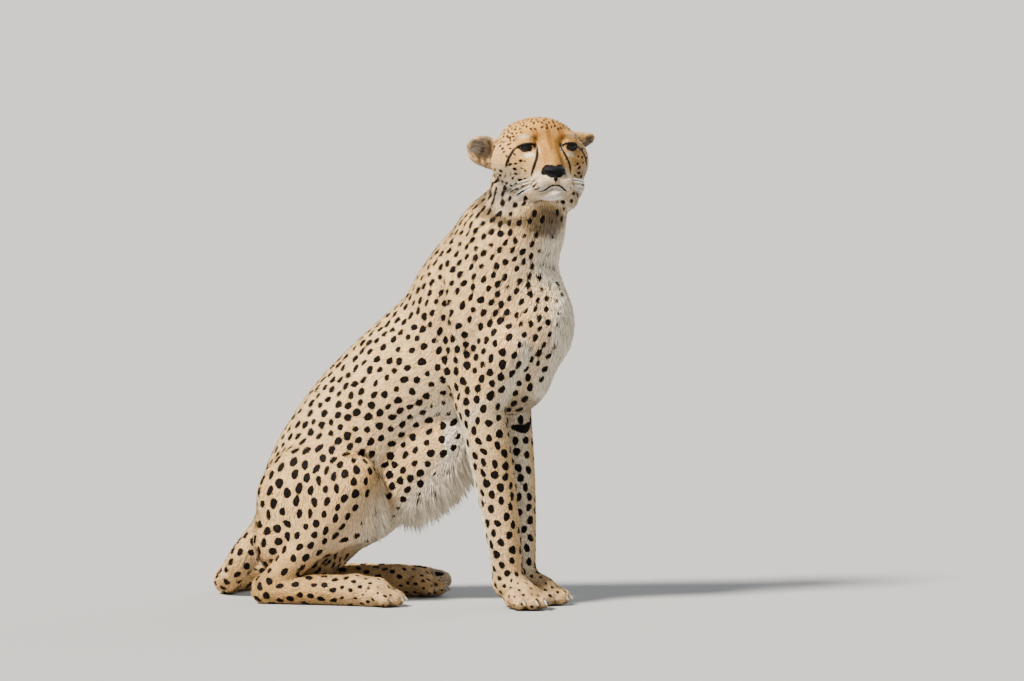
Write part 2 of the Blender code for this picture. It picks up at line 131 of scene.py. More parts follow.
@dataclass(frozen=True)
class Axes:
    """A local frame: an origin in the plan's millimetres and three square unit directions."""

    origin: Array
    ahead: Array
    left: Array
    up: Array

    @classmethod
    def facing(cls, origin: tuple, yaw: float, pitch: float = 0.0) -> "Axes":
        """Frame at origin that looks along yaw degrees about Z, lifted by pitch degrees."""
        level = np.array((cos(radians(yaw)), sin(radians(yaw)), 0))
        left = np.cross(UP, level)
        ahead = level * cos(radians(pitch)) + UP * sin(radians(pitch))
        return cls(np.array(origin, float), ahead, left, np.cross(ahead, left))

    @classmethod
    def along(cls, origin: tuple, ahead: tuple, side: tuple) -> "Axes":
        """Frame at origin whose ahead is given and whose left is as near to side as it can be."""
        ahead = unit(ahead)
        side = np.asarray(side, float)
        left = unit(side - side @ ahead * ahead)
        return cls(np.array(origin, float), ahead, left, np.cross(ahead, left))

    def at(self, ahead: float, left: float, up: float) -> Array:
        """Point of this frame in the plan's millimetres."""
        return self.origin + self.turn(ahead, left, up)

    def turn(self, ahead: float, left: float, up: float) -> Array:
        """Direction of this frame in the plan."""
        return self.ahead * ahead + self.left * left + self.up * up

    def basis(self) -> Array:
        """The three directions as rows."""
        return np.stack([self.ahead, self.left, self.up])

    def placed(self, rows: Array) -> Array:
        """Places in the frame of rows that start with ahead, left and up in these axes."""
        return np.array([plan(*self.at(*row[:3])) for row in rows])

    def local(self, places: Array) -> Array:
        """Places of the frame of metres as ahead, left and up of these axes, in millimetres."""
        return (places / MM + FLOOR_CENTRE - self.origin) @ np.stack([self.ahead, self.left, self.up], 1)


BODY = Axes.facing((0, 0, 0), 0)
CHEST = Axes.facing((0, 0, 0), -16)
HEAD = Axes.facing((291, -70, 861), -59, 6)
VENTRAL = unit((0.74, 0.0, -0.67))          # the way that the belly faces
HANG_WAY = np.array((0.80, 0.0, -0.9))      # the way that loose hair falls


class Region(Enum):
    """A region of the coat."""

    MUZZLE = 0
    FACE = 1
    CROWN = 2
    CHEEK = 3
    RUFF = 4
    EAR = 5
    NECK = 6
    BIB = 7
    BACK = 8
    BELLY = 9
    SHOULDER = 10
    FORELEG = 11
    THIGH = 12
    SHIN = 13
    PAW = 14
    TAIL = 15
    FRINGE = 16


@dataclass(frozen=True)
class Fur:
    """The coat of one region.  Lengths are in millimetres.

    depth is the coat's over the skin, rise the height of a tuft's tip as a share of the depth, crowd the
    tufts on a square centimetre, spot and gap a spot's radius and the distance to the next, stretch how much
    longer than wide a spot is, pale and warm the shares of cream and of gold in the ground colour, and hang
    how far it falls free.
    """

    depth: float
    length: float
    width: float
    rise: float
    crowd: float
    spot: float
    gap: float
    stretch: float
    pale: float
    warm: float
    hang: float = 0.0


FURS = {
    Region.MUZZLE: Fur(2.5, 3.8, 0.9, 0.9, 64, 0.0, 9, 1.0, 0.4, 0.3),
    Region.FACE: Fur(3.0, 4.8, 0.9, 0.95, 60, 2.4, 7.0, 1.4, 0.05, 0.8),
    Region.CROWN: Fur(4.0, 6.0, 1.0, 0.95, 54, 4.0, 7.8, 1.8, 0.0, 0.75),
    Region.CHEEK: Fur(4.5, 7.5, 1.1, 0.95, 44, 4.8, 9.4, 1.4, 0.2, 0.55),
    Region.RUFF: Fur(8.0, 19.0, 1.6, 1.0, 26, 6.2, 13.0, 1.3, 0.5, 0.1, 0.25),
    Region.EAR: Fur(3.5, 9.0, 1.0, 0.95, 50, 0.0, 9, 1.0, 0.1, 0.6),
    Region.NECK: Fur(8.0, 14.0, 1.6, 0.95, 23, 7.2, 16.0, 1.15, 0.1, 0.05),
    Region.BIB: Fur(10.0, 20.0, 1.8, 1.0, 19, 6.2, 21, 1.15, 0.8, 0.0, 0.1),
    Region.BACK: Fur(7.0, 11.0, 1.6, 0.9, 23, 8.0, 18.0, 1.12, 0.1, 0.0),
    Region.BELLY: Fur(14.0, 34.0, 2.2, 1.1, 19, 0.0, 26, 1.1, 0.8, 0.0, 0.85),
    Region.SHOULDER: Fur(6.5, 10.0, 1.5, 0.9, 25, 8.4, 18.5, 1.15, 0.1, 0.05),
    Region.FORELEG: Fur(5.0, 8.0, 1.3, 0.9, 31, 8.2, 18.0, 1.2, 0.15, 0.1),
    Region.THIGH: Fur(6.0, 10.5, 1.6, 0.9, 25, 10.2, 22.0, 1.3, 0.05, 0.1),
    Region.SHIN: Fur(5.0, 8.0, 1.4, 0.9, 29, 7.0, 18.0, 1.3, 0.1, 0.3),
    Region.PAW: Fur(3.0, 5.0, 1.1, 0.9, 40, 3.6, 13, 1.3, 0.2, 0.35),
    Region.TAIL: Fur(7.0, 13.0, 1.6, 0.95, 23, 8.6, 19, 1.2, 0.1, 0.15),
    Region.FRINGE: Fur(5.0, 16.0, 1.4, 1.2, 30, 4.0, 20, 1.2, 0.9, 0.0, 0.5),
}
FUR_TABLE = np.array([astuple(FURS[region]) for region in Region])
DEPTH, LENGTH, WIDTH, RISE, CROWD, SPOT, SPACING, STRETCH, PALE, WARM, HANG = range(11)


class Form:
    """A rounded form of the figure.

    Args:
        region: Region of the coat that it carries, by whose depth it shrinks to the skin.
        melt: Width in millimetres over which it flows into its neighbours.
        cut: True for a hollow, which is taken away.
    """

    def __init__(self, region: Region, melt: float, cut: bool = False) -> None:
        self.region = region
        self.melt = melt * MM
        self.cut = cut
        self.shrink = 0.0 if cut else FURS[region].depth

    def near(self, places: Array, margin: float) -> Array:
        """Indices of the places inside the form's box, grown by margin metres."""
        inside = ((places > self.low - margin) & (places < self.high + margin)).all(1)
        return np.nonzero(inside)[0]


class Ball(Form):
    """An ellipsoid.

    Args:
        axes: Frame of its radii.
        centre: Centre in the plan's millimetres.
        radii: Radii ahead, aside and up, in millimetres, out to the tips of the coat.
        lie: Direction in which the coat lies on it.
    """

    def __init__(self, region: Region, axes: Axes, centre: Array, radii: tuple, lie: Array, melt: float,
                 cut: bool = False) -> None:
        super().__init__(region, melt, cut)
        self.centre = plan(*centre)
        self.radii = (np.array(radii, float) - self.shrink) * MM
        self.basis = axes.basis()
        self.lie_to = unit(lie)
        reach = np.sqrt(((self.basis * self.radii[:, None]) ** 2).sum(0))
        self.low, self.high = self.centre - reach, self.centre + reach

    def distance(self, places: Array) -> Array:
        """Signed distance k(k - 1)/m, with k and m the place's length over the radii and their squares."""
        local = (places - self.centre) @ self.basis.T
        k = np.linalg.norm(local / self.radii, axis=1)
        m = np.linalg.norm(local / self.radii**2, axis=1) + 1e-9
        return k * (k - 1) / m

    def lie(self, places: Array) -> Array:
        """The coat's direction at each place."""
        return np.broadcast_to(self.lie_to, places.shape)


class Limb(Form):
    """A rounded form carried along a path.

    Args:
        stations: Rows of x, y, z, radius and width as a share of the radius, in millimetres.
        side: Direction in which the width is measured.
        way: 1 where the coat lies from the first station to the last, -1 where it lies back.
        steps: Links for each span.
    """

    def __init__(self, region: Region, stations: list, side: Array, melt: float, way: int = 1, steps: int = 4,
                 cut: bool = False) -> None:
        super().__init__(region, melt, cut)
        rows = resample(stations, steps)
        self.path = metres(rows[:, :3])
        self.radius = (rows[:, 3] - self.shrink) * MM
        self.flat = rows[:, 4]
        self.side = unit(side)
        self.tangent = unit(np.gradient(self.path, axis=0)) * way
        reach = self.radius[:, None]
        self.low, self.high = (self.path - reach).min(0), (self.path + reach).max(0)

    def nearest(self, places: Array) -> tuple[Array, Array, Array]:
        """Nearest point of the path to each place.

        Returns:
            Its place along the path, counted in links, the squared distance, and the offset along the side.
        """
        best = np.full(len(places), 1e9)
        share = np.zeros(len(places))
        aside = np.zeros(len(places))
        for link, (a, b) in enumerate(zip(self.path, self.path[1:])):
            ab = b - a
            offset = places - a
            h = np.clip(offset @ ab / (ab @ ab), 0, 1)
            offset -= h[:, None] * ab
            square = dot(offset, offset)
            closer = square < best
            best[closer] = square[closer]
            share[closer] = link + h[closer]
            aside[closer] = offset[closer] @ self.side
        return share, best, aside

    def distance(self, places: Array) -> Array:
        """Signed distance n(1 - r/m): n is the distance to the path, m that distance with its sideways part
        widened by the flatness, and r the radius there."""
        share, square, aside = self.nearest(places)
        links = np.arange(len(self.radius))
        radius = np.interp(share, links, self.radius)
        flat = np.interp(share, links, self.flat)
        n = np.sqrt(square) + 1e-9
        return n * (1 - radius / np.sqrt(n * n + (1 / flat**2 - 1) * aside * aside))

    def lie(self, places: Array) -> Array:
        """The coat's direction at each place: the path's own."""
        share = self.nearest(places)[0]
        links = np.arange(len(self.path))
        return np.stack([np.interp(share, links, self.tangent[:, axis]) for axis in range(3)], 1)


class Shape:
    """Forms melted into one closed surface, where the distance is zero."""

    def __init__(self, forms: list[Form], floor: float = -1.0) -> None:
        self.forms = [form for form in forms if not form.cut] + [form for form in forms if form.cut]
        self.floor = floor

    def distance(self, places: Array, reach: float = 0.012) -> Array:
        """Signed distance in metres, true within reach of the surface.

        Formula: forms join by min(a, b) - h^2 k/4, where h = max(k - |a - b|, 0)/k and k is the melt, and a
        hollow is taken away by the same rule on the negative of its distance.
        """
        total = np.full(len(places), 1.0)
        for form in self.forms:
            near = form.near(places, reach + form.melt)
            if not len(near):
                continue
            new, old, k = form.distance(places[near]), total[near], form.melt
            h = np.maximum(k - np.abs(old + new if form.cut else old - new), 0) / k
            if form.cut:
                total[near] = np.maximum(old, -new) + h * h * k / 4
            else:
                total[near] = np.minimum(old, new) - h * h * k / 4
        return np.maximum(total, self.floor - places[:, 2])

    def gradient(self, places: Array, gap: float = 0.0006) -> Array:
        """Unit outward direction: the distance's change over a small step along each axis."""
        steps = gap * np.eye(3)
        slopes = [self.distance(places + along) - self.distance(places - along) for along in steps]
        return unit(np.stack(slopes, 1))

    def settle(self, places: Array, height: float = 0.0, rounds: int = 3) -> Array:
        """Move places onto the surface, or to a height in metres over it, along the gradient."""
        for _ in range(rounds):
            places = places - self.gradient(places) * (self.distance(places) - height)[:, None]
        return places

    def traits(self, places: Array, softness: float = 0.010, reach: float = 0.05) -> tuple[Array, Array]:
        """Blend of what the forms near each place carry, each weighed by exp(-|distance| / softness).

        Returns:
            The lie of the coat and the row of fur traits at each place.
        """
        lie = np.zeros(places.shape)
        fur = np.zeros((len(places), FUR_TABLE.shape[1]))
        total = np.zeros(len(places))
        for form in self.forms:
            near = form.near(places, reach)
            if form.cut or not len(near):
                continue
            weight = np.exp(-np.abs(form.distance(places[near])) / softness)
            lie[near] += form.lie(places[near]) * weight[:, None]
            fur[near] += FUR_TABLE[form.region.value] * weight[:, None]
            total[near] += weight
        return lie, fur / (total[:, None] + 1e-12)


def shifted(grid: Array, corner: tuple) -> Array:
    """What the grid holds at one corner of each of its cells."""
    return grid[tuple(slice(i, size - 1 + i) for i, size in zip(corner, grid.shape))]


@dataclass(frozen=True)
class Lattice:
    """An even lattice, drawn closer together round a centre, on which a surface is read.

    A lattice place at distance r from the centre goes to gain r + (1 - gain) S(r), where S is 0 within
    `inner`, rises by a smooth step of slope up to `outer`, and has a slope of 1 from there.
    """

    spacing: float
    centre: Array
    gain: float = 1.0
    inner: float = 0.25
    outer: float = 0.45

    def spread(self, r: Array) -> Array:
        """Distance from the centre in metres for a lattice distance r."""
        span = self.outer - self.inner
        t = np.clip((r - self.inner) / span, 0, 1)
        rise = span * (t**3 - t**4 / 2) + np.maximum(r - self.outer, 0)
        return self.gain * r + (1 - self.gain) * rise

    def place(self, lattice: Array) -> Array:
        """Lattice places as places in the frame."""
        offset = lattice - self.centre
        r = np.linalg.norm(offset, axis=-1, keepdims=True) + 1e-9
        return self.centre + offset * (self.spread(r) / r)

    def back(self, places: Array) -> Array:
        """Places in the frame as lattice places."""
        table = np.linspace(1e-6, 3, 3000)
        offset = places - self.centre
        r = np.linalg.norm(offset, axis=-1, keepdims=True) + 1e-9
        return self.centre + offset * (np.interp(r, self.spread(table), table) / r)

    def contour(self, shape: Shape, coarse: int = 4) -> tuple[Array, Array]:
        """The shape's surface as quads: one vertex in each cell it crosses, at the mean of the crossings.

        The distance is first worked out on every `coarse`-th lattice point, then in full near the surface.

        Returns:
            Vertex places in the frame and rows of four vertex indices.
        """
        low = np.min([form.low for form in shape.forms if not form.cut], 0) - 0.01
        high = np.max([form.high for form in shape.forms if not form.cut], 0) + 0.01
        box = np.stack(np.meshgrid(*[np.linspace(a, b, 9) for a, b in zip(low, high)], indexing="ij"), -1)
        box = self.back(box.reshape(-1, 3))
        start = box.min(0) - 2 * self.spacing
        count = np.ceil((box.max(0) + 2 * self.spacing - start) / self.spacing / coarse).astype(int) * coarse
        wide = self.spacing * coarse
        axes = [start[i] + wide * np.arange(count[i] // coarse + 1) for i in range(3)]
        grid = np.stack(np.meshgrid(*axes, indexing="ij"), -1)
        rough = shape.distance(self.place(grid.reshape(-1, 3)), wide * 1.9).reshape(grid.shape[:3])
        values = rough.repeat(coarse, 0).repeat(coarse, 1).repeat(coarse, 2)
        values = np.ascontiguousarray(values[: count[0] + 1, : count[1] + 1, : count[2] + 1], np.float32)
        near = np.abs(rough) < wide * 1.9
        corners = list(product((0, 1), repeat=3))
        cells = np.zeros(np.array(near.shape) - 1, bool)
        for corner in corners:
            cells |= shifted(near, corner)
        fine = np.zeros(values.shape, bool)
        blown = cells.repeat(coarse, 0).repeat(coarse, 1).repeat(coarse, 2)
        fine[: blown.shape[0], : blown.shape[1], : blown.shape[2]] = blown
        index = np.stack(np.nonzero(fine), 1)
        for piece in np.array_split(index, len(index) // 300000 + 1):
            places = self.place(start + self.spacing * piece)
            values[tuple(piece.T)] = shape.distance(places, self.spacing * 3)
        vertices, quads = self.nets(values, corners)
        return self.place(start + self.spacing * vertices), quads

    @staticmethod
    def nets(values: Array, corners: list[tuple]) -> tuple[Array, Array]:
        """Vertices, in cells of the lattice, and quads of the surface where the values change sign."""
        inside = values < 0
        filled = sum(shifted(inside, corner).astype(np.int8) for corner in corners)
        mixed = (filled > 0) & (filled < 8)
        number = -np.ones(mixed.shape, np.int64)
        cells = np.stack(np.nonzero(mixed), 1)
        number[mixed] = np.arange(len(cells))
        total = np.zeros((len(cells), 3))
        crossings = np.zeros(len(cells))
        for corner in corners:
            for axis in range(3):
                if corner[axis]:
                    continue
                other = np.array(corner)
                other[axis] = 1
                a = values[tuple((cells + corner).T)].astype(float)
                b = values[tuple((cells + other).T)].astype(float)
                crossed = (a < 0) != (b < 0)
                point = np.repeat(np.array(corner, float)[None], len(cells), 0)
                point[:, axis] = np.where(crossed, a / np.where(crossed, a - b, 1), 0)
                total[crossed] += point[crossed]
                crossings[crossed] += 1
        quads = []
        for axis in range(3):
            low, high = [slice(1, -1)] * 3, [slice(1, -1)] * 3
            low[axis], high[axis] = slice(0, -1), slice(1, None)
            first, second = inside[tuple(low)], inside[tuple(high)]
            base = np.stack(np.nonzero(first != second), 1)
            flip = first[tuple(base.T)]
            u, w = (axis + 1) % 3, (axis + 2) % 3
            base[:, [u, w]] += 1
            ring = []
            for du, dw in ((0, 0), (1, 0), (1, 1), (0, 1)):
                cell = base.copy()
                cell[:, u] -= 1 - du
                cell[:, w] -= 1 - dw
                ring.append(number[tuple(cell.T)])
            ring = np.stack(ring, 1)
            quads.append(np.where(flip[:, None], ring, ring[:, ::-1]))
        return cells + total / crossings[:, None], np.concatenate(quads)


# The figure's forms, one class for each part of the body.


@dataclass(frozen=True)
class Trunk:
    """Back, neck, chest and belly.  A station is x, y, z, radius and width as a share of the radius."""

    spine: tuple = (
        (-196, 0, 112, 88, 0.95), (-182, 0, 178, 101, 0.92), (-140, 0, 257, 112, 0.84),
        (-70, -2, 346, 118, 0.77), (12, -6, 426, 118, 0.79), (106, -17, 498, 127, 0.80),
        (172, -32, 574, 132, 0.77),
    )
    neck: tuple = (
        (172, -32, 574, 132, 0.77), (205, -41, 642, 120, 0.80), (226, -46, 690, 107, 0.82),
        (250, -52, 732, 93, 0.88), (268, -60, 772, 79, 0.95), (278, -65, 812, 70, 1.00),
    )
    side: tuple = tuple(BODY.left + CHEST.left)
    fold: tuple = ((122, 92, 665), (146, 101, 583), (149, 101, 503), (158, 105, 456), (170, 104, 412))

    def forms(self) -> list[Form]:
        """The trunk's forms."""
        down = CHEST.turn(-0.35, 0, -1)
        belly = Axes.along((0, 0, 0), (0.64, 0, 0.77), BODY.left)
        blade = Axes.along((0, 0, 0), CHEST.ahead * 0.55 - UP * 0.83, CHEST.left)
        arm = Axes.along((0, 0, 0), CHEST.ahead * 0.45 - UP * 0.89, CHEST.left)
        forms: list[Form] = [
            Limb(Region.BACK, self.spine, self.side, 26, -1),
            Limb(Region.NECK, self.neck, self.side, 26, -1),
            Ball(Region.BACK, belly, (57, -8, 282), (150, 62, 72), (-0.6, 0, -0.8), 30),
            Ball(Region.NECK, CHEST, (264, -54, 540), (94, 80, 112), down, 26),
            Ball(Region.SHOULDER, CHEST, (222, -44, 446), (92, 70, 86), down, 26),
        ]
        for sign in (1, -1):
            place = np.array((176, -33, 572)) + CHEST.left * 60 * sign
            forms.append(Ball(Region.SHOULDER, blade, place, (92, 27, 52), blade.ahead, 14))
            place = np.array((172, -34, 452)) + CHEST.left * 64 * sign
            forms.append(Ball(Region.SHOULDER, arm, place, (82, 35, 50), arm.ahead, 10))
            fold = [(*CHEST.at(ahead, 15 + aside * sign, up), 13, 1) for ahead, aside, up in self.fold]
            forms.append(Limb(Region.SHOULDER, fold, CHEST.left, 14, steps=3, cut=True))
        return forms


@dataclass(frozen=True)
class Paw:
    """A paw on the floor.  A toe is its offset aside, and how far ahead its knuckle and its tip are."""

    toes: tuple = ((-27, 44, 66), (-10, 54, 82), (10, 54, 82), (27, 44, 66))
    tilt: float = 1.06

    def forms(self, wrist: Array, yaw: float) -> list[Form]:
        """Pastern, palm and toes of the paw below a wrist, turned by yaw degrees."""
        foot = Axes.facing((wrist[0], wrist[1], 0), yaw)
        pastern = [(*foot.at(0, 0, wrist[2]), 29, 0.95), (*foot.at(44, 0, 29), 27, 0.95)]
        lie = foot.turn(1, 0, -0.5)
        forms = [
            Limb(Region.PAW, pastern, foot.left, 12, steps=3),
            Ball(Region.PAW, foot, foot.at(40, 0, 20), (40, 33, 25), lie, 10),
        ]
        for aside, knuckle, tip in self.toes:
            root = (*foot.at(knuckle, aside * 0.85, 27), 17, 1)
            end = (*foot.at(tip, aside * self.tilt, 16), 15, 1)
            forms.append(Limb(Region.PAW, [root, end], foot.left, 3.5, steps=2))
        return forms

    def claws(self, wrist: Array, yaw: float) -> list[Axes]:
        """Frames of the four claws, each with its origin where the claw leaves its toe."""
        foot = Axes.facing((wrist[0], wrist[1], 0), yaw)
        return [
            Axes.along(foot.at(tip + 8, aside * self.tilt, 19), foot.turn(0.86, 0, -0.5), foot.left)
            for aside, _, tip in self.toes
        ]


@dataclass(frozen=True)
class Foreleg:
    """Upper arm, forearm and paw of one side."""

    shoulder: tuple
    elbow: tuple
    wrist: tuple
    yaw: float
    bow: float = 5.0
    rows: tuple = ((0, 49), (0.2, 46), (0.42, 42), (0.66, 37), (0.84, 33), (1, 31))

    def forms(self) -> list[Form]:
        """The leg's forms; the forearm bows forward of the line from elbow to wrist."""
        shoulder, elbow, wrist = (np.array(point, float) for point in (self.shoulder, self.elbow, self.wrist))
        upper = [(*shoulder, 58, 0.75), (*(shoulder + elbow) / 2, 53, 0.76), (*elbow, 49, 0.80)]
        lower = []
        for share, radius in self.rows:
            point = elbow + (wrist - elbow) * share + CHEST.ahead * self.bow * sin(pi * share)
            lower.append((*point, radius, 0.80 + 0.14 * share))
        return [
            Limb(Region.SHOULDER, upper, CHEST.left, 14, steps=3),
            Limb(Region.FORELEG, lower, CHEST.left, 12, steps=3),
            *Paw().forms(wrist, self.yaw),
        ]


@dataclass(frozen=True)
class HindLeg:
    """Thigh, shin and long hind foot of one side; sign is 1 on the left."""

    sign: int
    forward: float = 0.0
    hip: tuple = (-196, 58, 118)
    knee: tuple = (-68, 107, 234)
    heel: tuple = (-232, 117, 27)
    toes: tuple = (-56, 118, 29)

    def point(self, place: tuple) -> Array:
        """A point of the left leg's pattern on this side."""
        return np.array((place[0] + self.forward, place[1] * self.sign, place[2]), float)

    def forms(self) -> list[Form]:
        """The leg's forms."""
        hip, knee, heel, toes = (self.point(place) for place in (self.hip, self.knee, self.heel, self.toes))
        thigh = Axes.along((0, 0, 0), (1, 0, 0.2), BODY.left)
        muscle = hip + (knee - hip) * 0.45 + UP * 30
        femur = [(*hip, 78, 0.85), (*(hip + knee) / 2, 66, 0.85), (*knee, 49, 0.85)]
        shin = [(*knee, 50, 0.85)]
        for share, radius in ((0.28, 46), (0.58, 37), (0.86, 29)):
            bend = np.array((8, 0, -6)) * sin(pi * share)
            shin.append((*(knee + (heel - knee) * share + bend), radius, 0.85))
        shin.append((*heel, 28, 0.95))
        foot = [(*heel, 29, 0.95), (*(heel + toes) / 2, 30, 0.95), (*toes, 31, 0.95)]
        return [
            Ball(Region.THIGH, thigh, muscle, (124, 58, 108), (-0.25, 0, -0.95), 22),
            Limb(Region.THIGH, femur, BODY.left, 22, steps=3),
            Limb(Region.SHIN, shin, BODY.left, 12, steps=3),
            Limb(Region.SHIN, foot, BODY.left, 10, steps=3),
            *Paw().forms(toes, 3 * self.sign),
        ]


@dataclass(frozen=True)
class Tail:
    """The tail leaves the rump, drops to the floor and curls forward round the left side."""

    stations: tuple = (
        (-258, 2, 132, 36, 1), (-305, 8, 84, 31, 1), (-338, 28, 44, 28, 1), (-362, 70, 26, 28, 1),
        (-366, 122, 24, 27, 1), (-350, 178, 23, 26, 1), (-310, 232, 23, 26, 1), (-250, 266, 22, 25, 1),
        (-180, 286, 22, 25, 1), (-110, 294, 22, 25, 1), (-40, 292, 21, 24, 1), (6, 284, 17, 20, 1),
    )
    rings: tuple = ((8.4, 8.0), (8.9, 8.5), (9.4, 9.0), (9.9, 9.0))

    def limb(self) -> Limb:
        """The tail's one form."""
        return Limb(Region.TAIL, self.stations, UP, 16)

    def ring(self, where: float, half: float) -> list[tuple]:
        """A black ring round the tail at a number of stations along it: x, y, z and half width."""
        rows = np.array(self.stations, float)
        first = int(where)
        centre = mix(rows[first], rows[first + 1], where - first)
        along = unit(rows[first + 1, :3] - rows[first, :3])
        aside = unit(np.cross(UP, along))
        over = np.cross(along, aside)
        turns = np.linspace(0, 2 * pi, 13)
        edge = centre[3] * 0.8
        return [(*(centre[:3] + edge * (cos(t) * aside + sin(t) * over)), half) for t in turns]


class HeadBall(Ball):
    """An ellipsoid of the head, whose coat lies away from the tip of the nose."""

    def lie(self, places: Array) -> Array:
        """The coat's direction: away from the nose, and down behind the cheeks and the crown."""
        local = HEAD.local(places)
        droop = step(20, -60, local[:, 2]) * step(60, 0, local[:, 0])
        lie = unit(unit(places - plan(*HEAD.at(106, 0, -34))) - UP * droop[:, None] * 0.7)
        return unit(mix(lie, HEAD.turn(-0.3, 0, -1), step(0, -55, local[:, 0])))


@dataclass(frozen=True)
class Ear:
    """A rounded ear: the right one turns out to the side, and the left one tips over, opening downwards."""

    centre: tuple
    tip: tuple
    opening: tuple

    def axes(self) -> Axes:
        """Frame of the ear: ahead runs to its tip, left up its height, and up out of its opening."""
        ahead, opening = unit(HEAD.turn(*self.tip)), HEAD.turn(*self.opening)
        opening = unit(opening - opening @ ahead * ahead)
        return Axes(HEAD.at(*self.centre), ahead, np.cross(opening, ahead), opening)

    def forms(self) -> list[Form]:
        """The ear's bowl, its root and its hollow."""
        ear = self.axes()
        return [
            Ball(Region.EAR, ear, ear.origin, (34, 30, 13), ear.ahead, 5),
            Ball(Region.EAR, ear, ear.at(-20, 0, -6), (26, 28, 18), ear.ahead, 12),
            Ball(Region.EAR, ear, ear.at(0, 0, 9), (28, 23.5, 13.5), ear.ahead, 2, cut=True),
        ]


EARS = {
    -1: Ear((-28, -99, 8), (-0.2, -0.92, 0.33), (1.0, -0.18, 0.1)),
    1: Ear((-34, 91, 20), (-0.45, 0.86, 0.2), (0.35, 0.3, -0.85)),
}


@dataclass(frozen=True)
class Skull:
    """The head.  A form is its place ahead, aside and up of the head's centre, and its radii."""

    middle: tuple = (
        (Region.CROWN, (-16, 0, 6), (74, 76, 65), 14),
        (Region.CROWN, (26, 0, 26), (46, 56, 42), 12),
        (Region.MUZZLE, (72, 0, -54), (42, 38, 26), 10),
        (Region.MUZZLE, (104, 0, -42), (12, 20, 13), 8),
        (Region.MUZZLE, (88, 0, -80), (19, 22, 12), 7),
    )
    pairs: tuple = (
        (Region.CROWN, (-6, 34, 26), (46, 36, 30), 14),
        (Region.CHEEK, (10, 54, -16), (54, 40, 48), 14),
        (Region.FACE, (40, 48, -14), (32, 30, 32), 12),
        (Region.CHEEK, (30, 44, -48), (36, 32, 30), 12),
        (Region.RUFF, (-16, 52, -56), (46, 42, 42), 6),
        (Region.RUFF, (2, 47, -78), (36, 31, 34), 5),
        (Region.FACE, (56, 35, 29), (20, 26, 10), 14),
        (Region.FACE, (61, 41, 11), (19, 19, 19), 6),
        (Region.FACE, (58, 24, -26), (36, 26, 34), 12),
        (Region.MUZZLE, (89, 21, -60), (25, 21, 17), 5),
    )

    def forms(self) -> list[Form]:
        """The head's forms, the ears and the hollows of the eyes."""
        forms: list[Form] = []
        for region, place, size, melt in self.middle:
            forms.append(HeadBall(region, HEAD, HEAD.at(*place), size, HEAD.ahead, melt))
        bridge = [(*HEAD.at(48, 0, 20), 25, 1), (*HEAD.at(98, 0, -30), 17, 1)]
        forms.append(Limb(Region.FACE, bridge, HEAD.left, 10, -1, 2))
        for sign in (-1, 1):
            for region, (ahead, left, up), size, melt in self.pairs:
                place = HEAD.at(ahead, left * sign, up)
                forms.append(HeadBall(region, HEAD, place, size, HEAD.ahead, melt))
            jaw = [(*HEAD.at(76, 8 * sign, -76), 16, 1), (*HEAD.at(-8, 46 * sign, -62), 28, 1)]
            forms.append(Limb(Region.CHEEK, jaw, HEAD.left, 10, 1, 2))
            forms += EARS[sign].forms()
            look = Eyeball(sign).axes()
            opening = look.at(21, -0.5 * sign, -2)
            forms.append(Ball(Region.FACE, look, opening, (14, 17.5, 7.2), look.ahead, 2, cut=True))
        return forms


@dataclass(frozen=True)
class Eyeball:
    """An eye: its centre from the head's, its radius, and how far it looks outwards, in degrees."""

    sign: int
    centre: tuple = (61, 41, 9.5)
    radius: float = 14.6
    outward: float = 17.0
    bulge: float = 1.4
    rings: int = 40
    turns: int = 56

    def axes(self) -> Axes:
        """Frame of the eye: ahead is where it looks, left is outwards on the left eye."""
        ahead, aside, up = self.centre
        turn = radians(self.outward)
        look = HEAD.turn(cos(turn), sin(turn) * self.sign, 0.0)
        return Axes.along(HEAD.at(ahead, aside * self.sign, up), look, HEAD.left)

    def build(self, name: str, material: bpy.types.Material) -> bpy.types.Object:
        """The eyeball: radius R + b(1 - s), with s the smooth step of the angle from the gaze.

        The attribute `gaze` holds that angle and the angle about the gaze, both in radians.
        """
        axes = self.axes()
        theta = np.linspace(0.0, pi, self.rings)[1:-1]
        phi = np.linspace(0, 2 * pi, self.turns, endpoint=False)
        t, p = np.meshgrid(theta, phi, indexing="ij")
        t = np.concatenate([[0.0], t.ravel(), [pi]])
        p = np.concatenate([[0.0], p.ravel(), [0.0]])
        r = self.radius + self.bulge * (1 - step(0.15, 0.66, t))
        local = np.stack([np.cos(t), np.sin(t) * np.cos(p), np.sin(t) * np.sin(p)], 1) * r[:, None]
        places = local @ axes.basis() + axes.origin
        faces = sphere_faces(len(theta), self.turns)
        piece = mesh_object(name, metres(places), faces, material)
        store(piece, "gaze", np.stack([t, p, np.zeros(len(t))], 1))
        return piece


def sphere_faces(rings: int, turns: int) -> list[tuple]:
    """Faces of a globe: a vertex at each pole and rings of vertices between them, first pole first."""
    near = np.arange(turns)
    after = (near + 1) % turns
    last = 1 + rings * turns
    faces = [(0, 1 + a, 1 + b) for a, b in zip(near, after)]
    for ring in range(rings - 1):
        top, low = 1 + ring * turns, 1 + (ring + 1) * turns
        faces += [(top + a, low + a, low + b, top + b) for a, b in zip(near, after)]
    low = 1 + (rings - 1) * turns
    faces += [(low + a, last, low + b) for a, b in zip(near, after)]
    return faces


def linked(name: str, data: bpy.types.ID) -> bpy.types.Object:
    """A new object with its data, in the scene."""
    thing = bpy.data.objects.new(name, data)
    bpy.context.scene.collection.objects.link(thing)
    return thing


def smooth_object(mesh: bpy.types.Mesh, material: bpy.types.Material) -> bpy.types.Object:
    """A smooth-shaded object at the origin, named after its mesh."""
    mesh.shade_smooth()
    mesh.materials.append(material)
    return linked(mesh.name, mesh)


